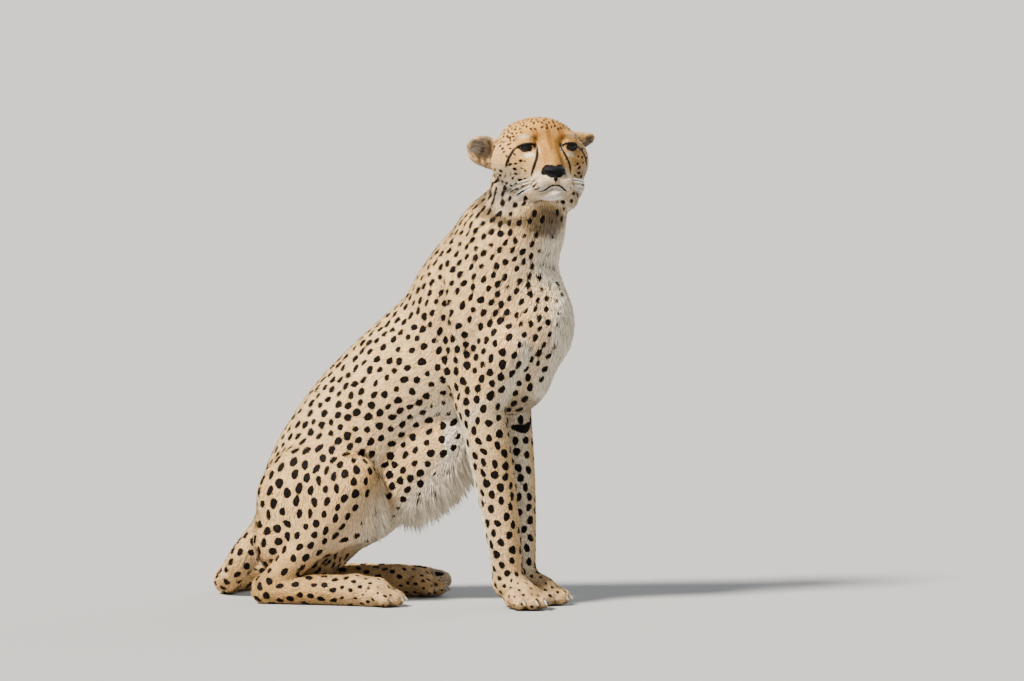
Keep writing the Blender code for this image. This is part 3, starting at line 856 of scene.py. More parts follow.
def mesh_object(name: str, vertices: Array, faces: list, material: bpy.types.Material) -> bpy.types.Object:
    """A smooth-shaded object at the origin, from its vertices and its faces."""
    mesh = bpy.data.meshes.new(name)
    mesh.from_pydata(np.asarray(vertices).tolist(), [], [tuple(face) for face in np.asarray(faces, object)])
    return smooth_object(mesh, material)


def joined(name: str, parts: list[tuple[Array, list]], material: bpy.types.Material) -> bpy.types.Object:
    """One object of several parts, each given by its vertices and its faces."""
    faces, count = [], 0
    for vertices, rows in parts:
        faces += [tuple(np.array(face) + count) for face in rows]
        count += len(vertices)
    return mesh_object(name, np.vstack([vertices for vertices, _ in parts]), faces, material)


def fast_object(name: str, vertices: Array, faces: Array, material: bpy.types.Material) -> bpy.types.Object:
    """A smooth-shaded object at the origin, from whole arrays: faces has a row of corners for each face."""
    mesh = bpy.data.meshes.new(name)
    mesh.vertices.add(len(vertices))
    mesh.vertices.foreach_set("co", np.ascontiguousarray(vertices, np.float32).ravel())
    mesh.loops.add(faces.size)
    mesh.loops.foreach_set("vertex_index", np.ascontiguousarray(faces, np.int32).ravel())
    mesh.polygons.add(len(faces))
    mesh.polygons.foreach_set("loop_start", np.arange(0, faces.size, faces.shape[1], dtype=np.int32))
    mesh.update(calc_edges=True)
    return smooth_object(mesh, material)


def store(thing: bpy.types.Object, name: str, values: Array) -> None:
    """Keep one number, or a row of three, for each vertex, as an attribute of the mesh."""
    kind, key = ("FLOAT", "value") if values.ndim == 1 else ("FLOAT_VECTOR", "vector")
    data = thing.data.attributes.new(name, kind, "POINT")
    data.data.foreach_set(key, np.ascontiguousarray(values, np.float32).ravel())


def seat(thing: bpy.types.Object, slot: str, *nodes: str) -> None:
    """Let a finished piece ride on the body and stand for its CAD nodes."""
    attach(thing, "root")
    if nodes:
        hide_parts(*nodes)
    thing.data.calc_loop_triangles()
    LOG.info("%s: %d triangles", thing.name, len(thing.data.loop_triangles))


def rings_about(across: Array, over: Array, sides: int, flat: float = 1.0) -> Array:
    """A ring of offsets for each row: cos a across and f sin a over, where f is how flat the ring is."""
    turn = np.linspace(0, 2 * pi, sides, endpoint=False)[None, :, None]
    return across[:, None] * np.cos(turn) + over[:, None] * np.sin(turn) * flat


def tube(path: Array, radius: Array, sides: int, flat: float = 1.0, side: Array = UP) -> tuple[Array, list]:
    """A closed tube carried along a path, with a point at each end.

    Formula: each ring is the path's point plus r(cos a, f sin a) in the plane square to the path, where f is
    how flat the section is.

    Returns:
        The vertices and the faces.
    """
    tangent = unit(np.gradient(path, axis=0))
    across = unit(np.cross(tangent, side))
    over = np.cross(across, tangent)
    ring = rings_about(across[1:-1], over[1:-1], sides, flat)
    rings = path[1:-1, None] + ring * radius[1:-1, None, None]
    vertices = np.vstack([path[:1], rings.reshape(-1, 3), path[-1:]])
    faces = sphere_faces(len(path) - 2, sides)
    return vertices, [face[::-1] for face in faces]


# Marks of the coat, which the skin and the tufts share.


@dataclass
class Marks:
    """Black spots and lines on the skin.

    Each spot is an ellipse in the plane of the skin, whose edge is a little wavy.  A line is a path with a
    half width at each of its points.  Lengths are in millimetres, apart from the cell of the search.
    """

    shape: Shape
    centre: Array = None
    along: Array = None
    across: Array = None
    normal: Array = None
    size: Array = None
    wave: Array = None
    fade: Array = None
    lines: list = field(default_factory=list)
    cell: float = 0.034
    speck: float = 2.1
    speck_gap: tuple = (17, 30)
    clear_of: float = 2.8
    far: float = 20.0
    most: float = 12.0
    smallest: float = 1.6
    thick: float = 2.2

    def scatter(self, skin: "Skin", rng: np.random.Generator, tries: int = 60000) -> None:
        """Throw spots at random on the skin, and keep each that is clear of those that are kept already."""
        places, normals, lie, fur, _ = skin.sample(tries, rng, even=False)
        clear = self.to_lines(places) > 0.9 * fur[:, SPOT]
        allowed = (fur[:, SPOT] > 1.2) & skin.spotted(places, normals) & clear
        self.keep(places, normals, lie, fur, allowed, fur[:, SPACING] * rng.uniform(0.90, 1.10, tries), rng)

    def speckle(self, skin: "Skin", rng: np.random.Generator, tries: int = 30000) -> None:
        """Throw small faint brown specks between the spots of the body."""
        places, normals, lie, fur, _ = skin.sample(tries, rng, even=False)
        clear = self.distance(places, normals) > self.clear_of
        allowed = (fur[:, SPOT] > 5.5) & skin.spotted(places, normals) & clear
        self.keep(places, normals, lie, fur, allowed, rng.uniform(*self.speck_gap, tries), rng, self.speck)

    def keep(self, places: Array, normals: Array, lie: Array, fur: Array, allowed: Array, gap: Array,
             rng: np.random.Generator, speck: float = 0.0) -> None:
        """Add those of the allowed spots that lie farther than their gap, in millimetres, from each other.

        A black spot reaches less than halfway to its nearest neighbour, so that the two don't touch.
        """
        kept = np.zeros((0, 3))
        chosen = []
        for index in np.nonzero(allowed)[0]:
            offset = kept - places[index]
            if not len(kept) or (dot(offset, offset) > (gap[index] * MM) ** 2).all():
                kept = np.vstack([kept, places[index]])
                chosen.append(index)
        pick = np.array(chosen)
        centre, normal, ahead = places[pick], normals[pick], lie[pick]
        if not speck:
            centre, normal = self.spread_out(centre, normal, fur[pick, SPACING])
            ahead = unit(ahead - normal * dot(ahead, normal)[:, None])
        turn = rng.normal(0, 0.35, len(pick))[:, None]
        along = unit(ahead * np.cos(turn) + np.cross(normal, ahead) * np.sin(turn))
        radius = (fur[pick, SPOT] if not speck else speck) * MM * rng.uniform(0.78, 1.16, len(pick))
        stretch = np.sqrt(fur[pick, STRETCH] * rng.uniform(0.85, 1.25, len(pick)))
        if not speck:
            nearest = np.sqrt(np.partition(between(centre), 1, axis=1)[:, 1].clip(0))
            margin = 1.5 * MM * step(4.5, 8.0, fur[pick, SPOT])
            radius = np.minimum(radius, (0.5 * nearest - margin).clip(self.smallest * MM) / stretch)
        size = np.stack([radius * stretch, radius / stretch], 1)
        phase, height = rng.uniform(0, 2 * pi, (len(pick), 2)), rng.uniform(0.02, 0.09, (len(pick), 2))
        ripple = np.stack([phase, height], 1)
        fade = np.full(len(pick), 0.8 * speck)
        fresh = (centre, along, np.cross(normal, along), normal, size, ripple, fade)
        names = ("centre", "along", "across", "normal", "size", "wave", "fade")
        for name, values in zip(names, fresh):
            old = getattr(self, name)
            setattr(self, name, values if old is None else np.concatenate([old, values]))
        LOG.info("spots: %d", len(pick))

    def spread_out(self, places: Array, normals: Array, gap: Array, rounds: int = 12) -> tuple[Array, Array]:
        """Spots pushed along the skin off their six nearest neighbours, where these are within 1.15 gaps.

        Formula: each push is 0.3 of what the distance lacks, and the spots then settle back on the skin.
        """
        for _ in range(rounds):
            near = np.argpartition(between(places), 7, axis=1)[:, :7]
            offset = places[:, None] - places[near]
            span = np.linalg.norm(offset, axis=2)
            lack = (0.575 * (gap[:, None] + gap[near]) * MM - span).clip(0)
            push = (offset * (0.3 * lack / (span + 1e-6))[..., None]).sum(1)
            push -= normals * dot(push, normals)[:, None]
            places = self.shape.settle(places + push, rounds=1)
            normals = unit(self.shape.gradient(places))
        return places, normals

    def distance(self, places: Array, normals: Array) -> Array:
        """Signed distance in millimetres from each place to the nearest mark's edge, below 0 inside it."""
        result = np.full(len(places), self.far)
        keys = np.floor(places / self.cell).astype(np.int64)
        homes = np.floor(self.centre / self.cell).astype(np.int64)
        order = np.lexsort(keys.T)
        ordered = keys[order]
        edges = np.nonzero((np.diff(ordered, axis=0) != 0).any(1))[0] + 1
        for group in np.split(order, edges):
            close = np.nonzero((np.abs(homes - keys[group[0]]) <= 1).all(1))[0]
            if len(close):
                result[group] = self.to_spots(places[group], normals[group], close)
        return np.minimum(result, self.to_lines(places))

    def to_lines(self, places: Array) -> Array:
        """Signed distance in millimetres from each place to the edge of the nearest line."""
        result = np.full(len(places), self.far)
        for path, half, box in self.lines:
            near = np.nonzero(((places > box[0]) & (places < box[1])).all(1))[0]
            if len(near):
                result[near] = np.minimum(result[near], self.to_line(places[near], path, half))
        return result

    def to_spots(self, places: Array, normals: Array, close: Array) -> Array:
        """Nearest of a few spots: (k - w) times the spot's mean radius, where k is the place over the spot's
        radii and w its wavy edge, 1 + a sin(2t + p) + b sin(3t + q)."""
        offset = places[:, None] - self.centre[close][None]
        x = np.einsum("ijk,jk->ij", offset, self.along[close]) / self.size[close, 0]
        y = np.einsum("ijk,jk->ij", offset, self.across[close]) / self.size[close, 1]
        z = np.einsum("ijk,jk->ij", offset, self.normal[close]) / (self.size[close, 0] * self.thick)
        turn = np.arctan2(y, x)
        phase, height = self.wave[close, 0], self.wave[close, 1]
        edge = 1 + height[:, 0] * np.sin(2 * turn + phase[:, 0])
        edge = edge + height[:, 1] * np.sin(3 * turn + phase[:, 1])
        mean = np.sqrt(self.size[close].prod(1)) / MM
        distance = (np.sqrt(x * x + y * y + z * z) - edge) * mean + self.fade[close]
        distance[normals @ self.normal[close].T < -0.2] = self.most
        return np.minimum(distance.min(1), self.most)

    def to_line(self, places: Array, path: Array, half: Array) -> Array:
        """Distance to a path less its half width there, in millimetres."""
        best = np.full(len(places), self.most)
        for a, b, wide, narrow in zip(path, path[1:], half, half[1:]):
            ab = b - a
            h = np.clip((places - a) @ ab / (ab @ ab), 0, 1)
            gap = np.linalg.norm(places - a - h[:, None] * ab, axis=1) / MM
            best = np.minimum(best, gap - wide - (narrow - wide) * h)
        return best

    def line(self, stations: tuple, axes: Axes = HEAD, steps: int = 5) -> None:
        """Add a line: rows of ahead, left and up in the axes, by default the head's, and half width."""
        rows = resample(stations, steps)
        path = self.shape.settle(axes.placed(rows))
        self.lines.append((path, rows[:, 3], (path.min(0) - 0.01, path.max(0) + 0.01)))


# Lines of the face on the left side: ahead, left, up and half width.
MOUTH_LINE = (
    (115, 0, -68, 2.0), (114, 7, -70, 2.3), (108, 16, -74.5, 2.4), (98, 25, -79, 2.3), (86, 32, -81, 1.7),
    (74, 37, -79.5, 0.8),
)
TEAR_LINE = (
    (66, 27, 18, 3.0), (70, 23.5, 9, 3.8), (80, 25, -2, 3.6), (87, 29, -14, 3.4), (88, 33.5, -25, 3.4),
    (85, 36, -35, 3.4), (81, 37, -42, 3.0), (78, 38, -50, 1.6),
)
OUTER_LINE = (
    (64, 56, 11, 3.4), (58, 61, 7, 3.6), (57, 66, 1, 3.7), (56.5, 71.5, -7.5, 4.0), (54, 75, -15, 4.2),
    (49, 77, -24, 3.8), (46, 77, -29, 2.2),
)
NOSE_GROUND = ((108, 0, -42, 12.0), (106, 6, -41, 12.0), (102, 13, -40, 9.0))
WHISKER_ROWS = (
    ((100, 33, -55, 1.8), (88, 39, -59.5, 2.6), (76, 41, -63, 1.6)),
    ((104, 31.5, -60, 1.8), (94, 37.5, -65, 2.6), (80, 39, -70, 1.6)),
    ((103, 29, -67, 1.8), (92, 34, -71, 2.6), (80, 37, -76, 1.6)),
)
CHEEK_LINES = (
    ((43, 76, -35, 2.6), (38, 76, -42, 3.4), (32, 75.5, -47, 2.4)),
    ((52, 69, -36, 2.4), (48, 69, -43, 2.8)),
    ((62, 55, -33, 1.8), (60, 55, -41, 2.2)),
    ((18, 86, -33, 2.2), (9, 84.5, -38, 2.8)),
)
THROAT_BARS = (
    ((24, -48, -117, 3.0), (27, -42, -118.5, 4.5), (28, -36, -119.5, 2.5)),
    ((26, -25, -138, 3.0), (26, -12, -139.5, 5.0), (23, 2, -141.5, 2.5)),
    ((-2, 36, -141, 2.5), (-6, 42, -141, 4.0)),
    ((16, -2.5, -166, 4.0), (13, 4, -169.5, 6.0), (6, 14, -173, 3.0)),
)
FORELEG_BAR = ((226, -10, 337, 6.0), (243, 0, 333, 9.0), (249, 13, 342, 6.0))
EAR_BACK = ((-2, -16, -9, 7.0), (3, 0, -11, 11.0), (-2, 16, -9, 7.0))


def mirrored(stations: tuple) -> tuple:
    """The stations of a left-hand line on the right."""
    return tuple((ahead, -left, up, half) for ahead, left, up, half in stations)


@dataclass(frozen=True)
class Patch:
    """A soft patch of colour: its centre and radii in millimetres, and on both sides where it is aside."""

    colour: tuple
    centre: tuple
    radii: tuple
    strength: float

    def share(self, local: Array) -> Array:
        """Strength at each place: the smooth step of how far it is inside the ellipsoid."""
        folded = np.stack([local[:, 0], np.abs(local[:, 1]), local[:, 2]], 1) if self.centre[1] else local
        k = np.linalg.norm((folded - self.centre) / self.radii, axis=1)
        return self.strength * step(1.25, 0.55, k)


BUFF = (0.80, 0.50, 0.20)
CREAM = (0.90, 0.79, 0.62)
GOLD = (0.40, 0.20, 0.045)
RUST = (0.20, 0.075, 0.016)
GREY = (0.30, 0.255, 0.195)
# A dark brown for painted shade, in places over darker fur: under the chin, behind the ruff, under the
# brisket and in the ears' hollows.
UMBER_SHADE = (0.060, 0.036, 0.018)
WHITE = (0.92, 0.86, 0.76)
# Painted shade under the brisket, over its darker brown fur.
BRISKET_FUR_AND_SHADE = Patch(UMBER_SHADE, (262, 60, 382), (36, 80, 46), 0.55)          # in the body's frame
PATCHES = (                                                         # in the head's frame
    Patch(GOLD, (44, 0, 30), (76, 62, 44), 0.9),
    Patch(GOLD, (86, 0, -6), (46, 25, 44), 1.0),
    Patch(RUST, (80, 0, 30), (34, 5, 40), 0.75),
    # Painted shade under the brow ridge, over darker rust fur above the inner corner of each eye.
    Patch(RUST, (68, 25, 34), (14, 7, 16), 0.8),
    Patch(RUST, (90, 12, -6), (26, 5, 26), 0.4),
    Patch(CREAM, (64, 44, 27), (14, 12, 5), 0.35),
    Patch(CREAM, (76, 22, 0), (12, 3.5, 11), 0.7),
    Patch(CREAM, (74, 38, -8), (16, 10, 5), 0.6),
    Patch(CREAM, (96, 24, -54), (30, 24, 18), 0.35),
    Patch(WHITE, (100, 0, -71), (30, 28, 7), 0.6),
    Patch(WHITE, (84, 0, -88), (34, 22, 15), 0.95),
    Patch(GREY, (40, 68, -52), (40, 32, 34), 0.65),
    # Painted shade under the whisker pad at each corner of the mouth.
    Patch(GREY, (70, 40, -86), (20, 14, 20), 0.85),
    Patch(GREY, (8, 72, -80), (46, 32, 28), 0.6),
    # Painted shadow of the chin on the throat.
    Patch(UMBER_SHADE, (26, 0, -122), (60, 48, 32), 0.8),
    # Painted shade of the ruff on each side of the neck, over darker fur.
    Patch(UMBER_SHADE, (22, 56, -122), (22, 20, 11), 0.7),
    Patch(UMBER_SHADE, (3, 74, -117), (22, 18, 12), 0.75),
    Patch(UMBER_SHADE, (-22, 86, -105), (24, 22, 14), 0.75),
    Patch(UMBER_SHADE, (-50, 84, -84), (26, 26, 20), 0.7),
)


@dataclass
class Skin:
    """The one skin of the whole figure, with what the coat needs to know at each of its vertices."""

    shape: Shape
    vertices: Array = None
    triangles: Array = None
    normals: Array = None
    lie: Array = None
    fur: Array = None
    uv: Array = None
    cell: float = 0.0060

    def build(self) -> None:
        """Read the surface of the shape and the traits of its coat."""
        lattice = Lattice(self.cell, plan(*HEAD.at(30, 0, -10)), gain=0.40, inner=0.25, outer=0.40)
        vertices, quads = lattice.contour(self.shape)
        self.triangles = np.vstack([quads[:, [0, 1, 2]], quads[:, [0, 2, 3]]])
        self.triangles = self.triangles.reshape(2, -1, 3).transpose(1, 0, 2).reshape(-1, 3)
        vertices = self.relax(vertices, 2)
        self.vertices = self.shape.settle(vertices, rounds=1)
        self.normals = self.vertex_normals()
        lie, self.fur = self.shape.traits(self.vertices)
        lie = self.relax(self.flatten(lie), 12)
        self.lie = self.flatten(lie)
        self.fur = self.relax(self.undersides(self.fur), 6)
        LOG.info("skin: %d vertices, %d triangles", len(vertices), len(self.triangles))

    def undersides(self, fur: Array) -> Array:
        """Traits with those of the belly, bib and legs' fringe laid over them, by the way the skin faces."""
        body, chest = BODY.local(self.vertices), CHEST.local(self.vertices)
        middle = step(110, 60, np.abs(body[:, 1] + 20)) * step(110, 170, body[:, 2])
        middle = middle * step(430, 360, body[:, 2])
        trunk = step(-130, -60, body[:, 0]) * self.behind_chest(body) * middle
        belly = step(0.42, 0.80, self.normals @ VENTRAL) * trunk
        front = step(380, 440, chest[:, 2]) * step(780, 700, chest[:, 2])
        bib = step(0.76, 0.97, self.normals @ CHEST.ahead) * front
        foreleg = step(120, 150, body[:, 0]) * step(50, 110, body[:, 2]) * step(400, 330, body[:, 2])
        fringe = step(0.25, 0.75, -self.normals @ CHEST.ahead) * foreleg
        for region, share in ((Region.BELLY, belly), (Region.BIB, bib), (Region.FRINGE, fringe)):
            fur = mix(fur, FUR_TABLE[region.value], share)
        return fur

    @staticmethod
    def behind_chest(body: Array) -> Array:
        """1 on the belly, and 0 ahead of the line where the chest and the forelegs begin."""
        return step(8, -18, body[:, 0] - 160 - 0.8 * (body[:, 2] - 330).clip(0))

    def neighbours(self) -> tuple[Array, Array]:
        """Both ends of every edge, each edge both ways."""
        pairs = np.vstack([self.triangles[:, [0, 1]], self.triangles[:, [1, 2]], self.triangles[:, [2, 0]]])
        return pairs[:, 0], pairs[:, 1]

    def relax(self, values: Array, rounds: int) -> Array:
        """Move each vertex's values halfway to the mean of its neighbours', a few times."""
        a, b = self.neighbours()
        count = np.bincount(a, minlength=len(values))[:, None]
        for _ in range(rounds):
            sums = [np.bincount(a, column[b], len(values)) for column in values.T]
            values = 0.5 * (values + np.stack(sums, 1) / count)
        return values

    def vertex_normals(self) -> Array:
        """Outward direction at each vertex: the sum of its faces' area vectors, made a unit."""
        a, b, c = (self.vertices[self.triangles[:, i]] for i in range(3))
        area = np.cross(b - a, c - a)
        total = np.zeros_like(self.vertices)
        for i in range(3):
            for axis in range(3):
                total[:, axis] += np.bincount(self.triangles[:, i], area[:, axis], len(total))
        return unit(total)

    def flatten(self, vectors: Array) -> Array:
        """Vectors laid into the plane of the skin, as units."""
        return unit(vectors - self.normals * dot(vectors, self.normals)[:, None])

    @staticmethod
    def spotted(places: Array, normals: Array) -> Array:
        """True where the coat has spots: not down the chest or belly, or on the front of the face."""
        front = (normals @ CHEST.ahead > 0.96) & (CHEST.local(places)[:, 2] < 700)
        under = (normals @ VENTRAL > 0.80) & (BODY.local(places)[:, 0] > -120)
        ahead, aside, up = HEAD.local(places).T
        aside = np.abs(aside)
        bridge = (ahead > 40) & (aside < 46) & (up < 42) & (up > -100)
        throat = (aside < 34) & (up < -74) & (up > -112) & (ahead > 10)
        eyes = np.linalg.norm(np.stack([ahead, aside, up], 1) - (61, 41, 10), axis=1) < 26
        ears = (aside > 80) & (up > -26)
        return ~(front | under | bridge | throat | eyes | ears)

    def tone(self, places: Array, normals: Array, fur: Array) -> Array:
        """Ground colour at each place, before the marks: buff, with its region's shares of cream and gold,
        paler on the chest, below, and inside the legs, with the soft patches, among them painted shade under
        the brow, the whisker pads, the chin and the ruff, with painted shade under the brisket, and with
        painted shade in the hollows of the ears, darkest at their roots."""
        body, chest = BODY.local(places), CHEST.local(places)
        down = step(0.1, -0.8, normals[:, 2]) * step(40, 120, body[:, 2])
        ahead = step(0.30, 0.95, normals @ CHEST.ahead) * step(300, 380, chest[:, 2])
        ahead = ahead * step(780, 660, chest[:, 2])
        low = step(150, 30, body[:, 2]) * step(-60, -180, body[:, 0])
        fore = step(60, 110, body[:, 0])
        outside = np.sign(body[:, 1] + 57 * fore)
        inner = step(0.15, 0.75, -outside * (normals @ BODY.left)) * step(430, 330, body[:, 2])
        inner *= step(30, 80, body[:, 2]) * (body[:, 1] < 160)
        below = step(-5, 60, 0.77 * (body[:, 0] - 57) - 0.64 * (body[:, 2] - 282))
        below = below * step(430, 380, body[:, 2]) * (self.behind_chest(body) * step(0, 60, body[:, 2] - 90))
        pale = np.clip(fur[:, PALE] + 0.5 * down + 0.4 * ahead + 0.7 * inner + 0.5 * below, 0, 1)
        colour = mix(BUFF, CREAM, pale)
        colour = mix(colour, GOLD, np.clip(fur[:, WARM] + 0.35 * low, 0, 1) * (1 - pale * 0.5))
        tail_end = step(70, 20, np.linalg.norm(body - Tail().stations[-1][:3], axis=1))
        colour = mix(colour, CREAM, tail_end * 0.6)
        # Painted shade under the brisket, over its darker brown fur.
        colour = mix(colour, UMBER_SHADE, BRISKET_FUR_AND_SHADE.share(body))
        local = HEAD.local(places)
        head = np.nonzero((np.abs(local) < (150, 130, 150)).all(1))[0]
        for patch in PATCHES:
            colour[head] = mix(colour[head], patch.colour, patch.share(local[head]))
        # Painted shade in the hollow of each ear, darkest towards its root.
        for ear in EARS.values():
            along, across, out = ear.axes().local(places).T
            mottle = 0.16 * wave(local, (0.31, 0.27, 0.2), (0.1, -0.13, 0.09))
            reach = np.hypot(along / 30, across / 26) + mottle
            bowl = step(1.35, 0.60, reach) * step(0.1, 0.5, normals @ ear.axes().up)
            shade = mix(np.array(GREY) * 0.6, UMBER_SHADE, step(24, -8, along - 0.5 * across))
            colour = mix(colour, shade, bowl * (np.abs(out) < 20))
        return colour

    def sample(self, count: int, rng: np.random.Generator, even: bool = True, weight: Array = None) -> tuple:
        """Points strewn over the skin.

        Args:
            count: How many.
            rng: Source of chance.
            even: True to strew in step with the area, False at random.
            weight: Share of the points for each triangle, the area if none is given.

        Returns:
            Places, normals, lie, fur traits, and the triangle and its three weights for each point.
        """
        corners = self.vertices[self.triangles]
        if weight is None:
            weight = spans(corners)
        total = np.cumsum(weight)
        ticks = (np.arange(count) + rng.uniform(0, 1, count)) / count if even else rng.uniform(0, 1, count)
        face = np.minimum(np.searchsorted(total, ticks * total[-1]), len(weight) - 1)
        u, v = np.sqrt(rng.uniform(0, 1, count)), rng.uniform(0, 1, count)
        share = np.stack([1 - u, u * (1 - v), u * v], 1)
        index = self.triangles[face]
        known = (self.vertices, self.normals, self.lie, self.fur)
        blend = [np.einsum("ij,ijk->ik", share, values[index]) for values in known]
        normal = unit(blend[1])
        lie = unit(blend[2] - normal * dot(blend[2], normal)[:, None])
        return blend[0], normal, lie, blend[3], (face, share)

    def dress(self, marks: Marks, material: bpy.types.Material) -> bpy.types.Object:
        """Make the skin's mesh, with its attributes and its unwrap."""
        skin = fast_object("skin", self.vertices, self.triangles, material)
        store(skin, "tone", self.tone(self.vertices, self.normals, self.fur))
        store(skin, "mark", marks.distance(self.vertices, self.normals))
        # The skin is darkened as if low in a tuft, with the painted shade deep in the coat.
        store(skin, "strand", np.tile((0.35, 0.5, 0.5), (len(self.vertices), 1)))
        skin.data.uv_layers.new(name="OFBake")
        bpy.context.view_layer.objects.active = skin
        skin.select_set(True)
        bpy.ops.object.mode_set(mode="EDIT")
        bpy.ops.mesh.select_all(action="SELECT")
        bpy.ops.uv.smart_project(angle_limit=radians(66), island_margin=0.002)
        bpy.ops.object.mode_set(mode="OBJECT")
        self.uv = np.empty(len(self.triangles) * 6, np.float32)
        skin.data.uv_layers["OFBake"].data.foreach_get("uv", self.uv)
        self.uv = self.uv.reshape(-1, 3, 2)
        return skin


@dataclass
class Coat:
    """The fur: small closed locks over the skin, following its lie.

    Lengths are in millimetres, apart from the patch of the unwrap.  A tuft's root is root_depth below the
    skin, and no point of it is under lowest.  Tufts keep off the eyes' openings, whose half width and height
    are eye_gap, and off an ellipsoid round the nose's leather, whose radii are nose_gap.
    """

    skin: Skin
    marks: Marks
    patch: float = 0.0015
    root_depth: float = 0.4
    lowest: float = 0.3
    eye_gap: tuple = (16.5, 7.4)
    nose_gap: tuple = (18, 22.5, 15)
    bend: float = 0.42

    def grow(self, rng: np.random.Generator, material: bpy.types.Material) -> list[bpy.types.Object]:
        """Root the tufts, shape them and part them into pieces."""
        skin = self.skin
        corners = skin.vertices[skin.triangles]
        area = spans(corners) / 2
        crowd = skin.fur[:, CROWD][skin.triangles].mean(1)
        open_air = (corners[:, :, 2].mean(1) > 0.004).astype(float)
        weight = area * crowd * open_air
        count = int((weight * 1e4).sum())
        places, normals, lie, fur, (face, share) = skin.sample(count, rng, True, weight)
        clear = self.clear(places, places + lie * fur[:, [LENGTH]] * MM)
        strewn = (places, normals, lie, fur, face, share)
        places, normals, lie, fur, face, share = (item[clear] for item in strewn)
        LOG.info("tufts: %d", len(places))
        traits = self.tufts(places, normals, lie, fur, rng)
        traits += (np.einsum("ij,ijk->ik", share, skin.uv[face]),)
        return [
            self.piece(name, *(values[index] for values in traits), material)
            for name, index in self.parted(places).items()
        ]

    def tufts(self, places: Array, normals: Array, lie: Array, fur: Array, rng: np.random.Generator) -> tuple:
        """Shape of every tuft: a root, two sides at its middle, and a tip.

        Formula: the middle is at the bend's share and the tip at 1 of the length along the lie, each let
        down or raised along the root's normal until its height over the skin is what the fur's rise gives.
        Where the fur hangs, both move by its share towards a lock that falls free from the root, in clumps.

        Returns:
            Vertices, ground colours, marks, strand values and shading normals, each by tuft and vertex.
        """
        count = len(places)
        scale = rng.uniform(0.72, 1.25, count)
        length = fur[:, LENGTH] * MM * scale
        width = fur[:, WIDTH] * MM * rng.uniform(0.8, 1.2, count)
        height = fur[:, DEPTH] * fur[:, RISE] * MM * rng.uniform(0.55, 1.0, count)
        sway = 0.07 * wave(places, (61.0, 83.0, 47.0), (23.0, -31.0, 37.0))
        turn = (sway + rng.normal(0, 0.11, count))[:, None]
        aside = np.cross(normals, lie)
        ahead = lie * np.cos(turn) + aside * np.sin(turn)
        aside = np.cross(normals, ahead)
        clump = fur[:, HANG] * wave(places, (310.0, 230.0, 270.0), (120.0, -90.0, 70.0))
        length = length * (1 + 0.4 * clump)
        middle = self.raised(places + ahead * (self.bend * length)[:, None], normals, height * 0.6)
        tip = self.raised(places + ahead * length[:, None], normals, height)
        sweep = normals * 0.45 + ahead * 0.25 + aside * (0.3 * clump)[:, None]
        fall = unit(HANG_WAY + sweep + rng.normal(0, 0.09, (count, 3)))
        middle = mix(middle, places + (fall + normals * 0.25) * (0.45 * length)[:, None], fur[:, HANG])
        tip = mix(tip, places + fall * length[:, None] - UP * (0.12 * length)[:, None], fur[:, HANG])
        half = aside * (width / 2)[:, None]
        root = places - normals * self.root_depth * MM
        vertices = np.stack([root, middle - half, middle + half, tip], 1)
        vertices[:, :, 2] = np.maximum(vertices[:, :, 2], self.lowest * MM)
        tone = np.repeat(self.skin.tone(places, normals, fur)[:, None], 4, 1)
        spots = [self.marks.distance(point, normals) for point in (places, middle, tip)]
        hung = fur[:, HANG] > 0.4
        spots[1][hung], spots[2][hung] = spots[0][hung], spots[0][hung]
        mark = np.stack([spots[0], spots[1], spots[1], spots[2]], 1)
        chance = rng.uniform(0, 1, count)
        strand = np.empty((count, 4, 3))
        strand[:, :, 0], strand[:, :, 1] = (0.0, 0.5, 0.5, 1.0), chance[:, None]
        strand[:, :, 2] = (0.5, 0.0, 1.0, 0.5)
        splay = aside * 0.8
        sheen = unit(np.stack([normals, normals - splay, normals + splay, normals + ahead * 0.25], 1))
        return vertices, tone, mark, strand, sheen

    def clear(self, roots: Array, tips: Array) -> Array:
        """True for a tuft that keeps off the openings of the eyes and off the leather of the nose."""
        keep = np.ones(len(roots), bool)
        for points in (roots, tips):
            for sign in (-1, 1):
                local = Eyeball(sign).axes().local(points) * (1, sign, 1)
                wide, high = self.eye_gap
                inside = ((local[:, 1] + 0.8) / wide) ** 2 + ((local[:, 2] + 1) / high) ** 2 < 1
                keep &= ~(inside & (local[:, 0] > 0) & (local[:, 0] < 26))
            nose = (HEAD.local(points) - (110, 0, -43)) / self.nose_gap
            keep &= (nose**2).sum(1) > 1
        return keep

    def raised(self, points: Array, normals: Array, height: Array) -> Array:
        """Points moved along their normals, twice, by what they lack of a height over the skin."""
        for _ in range(2):
            lack = height - self.skin.shape.distance(points)
            points = points + normals * np.clip(lack, -0.02, 0.02)[:, None]
        return points

    @staticmethod
    def parted(places: Array) -> dict[str, Array]:
        """Indices of the tufts of each piece, by where they are rooted."""
        local = HEAD.local(places)
        x, y, z = BODY.local(places).T
        head = np.linalg.norm(local - (0, 0, -10), axis=1) < 128
        tail = ((y > 160) | (x < -300)) & ~head
        fore = (x > 120) & (z < 400) & ~tail & ~head
        hind = (z < 95) & ~fore & ~tail & ~head
        right = y < -20
        rest = ~(head | tail | fore | hind)
        parts = [("head", head, local[:, 1] < 0), ("tail", tail, None)]
        parts += [("foreleg", fore, y < -57), ("hindfoot", hind, right)]
        for name, low, high in (("haunch", 95, 330), ("flank", 330, 540), ("neck", 540, 2000)):
            parts.append((name, rest & (z >= low) & (z < high), right))
        pieces = {}
        for name, part, side in parts:
            if side is None:
                pieces[f"coat_{name}"] = np.nonzero(part)[0]
            else:
                pieces[f"coat_{name}_right"] = np.nonzero(part & side)[0]
                pieces[f"coat_{name}_left"] = np.nonzero(part & ~side)[0]
        return pieces

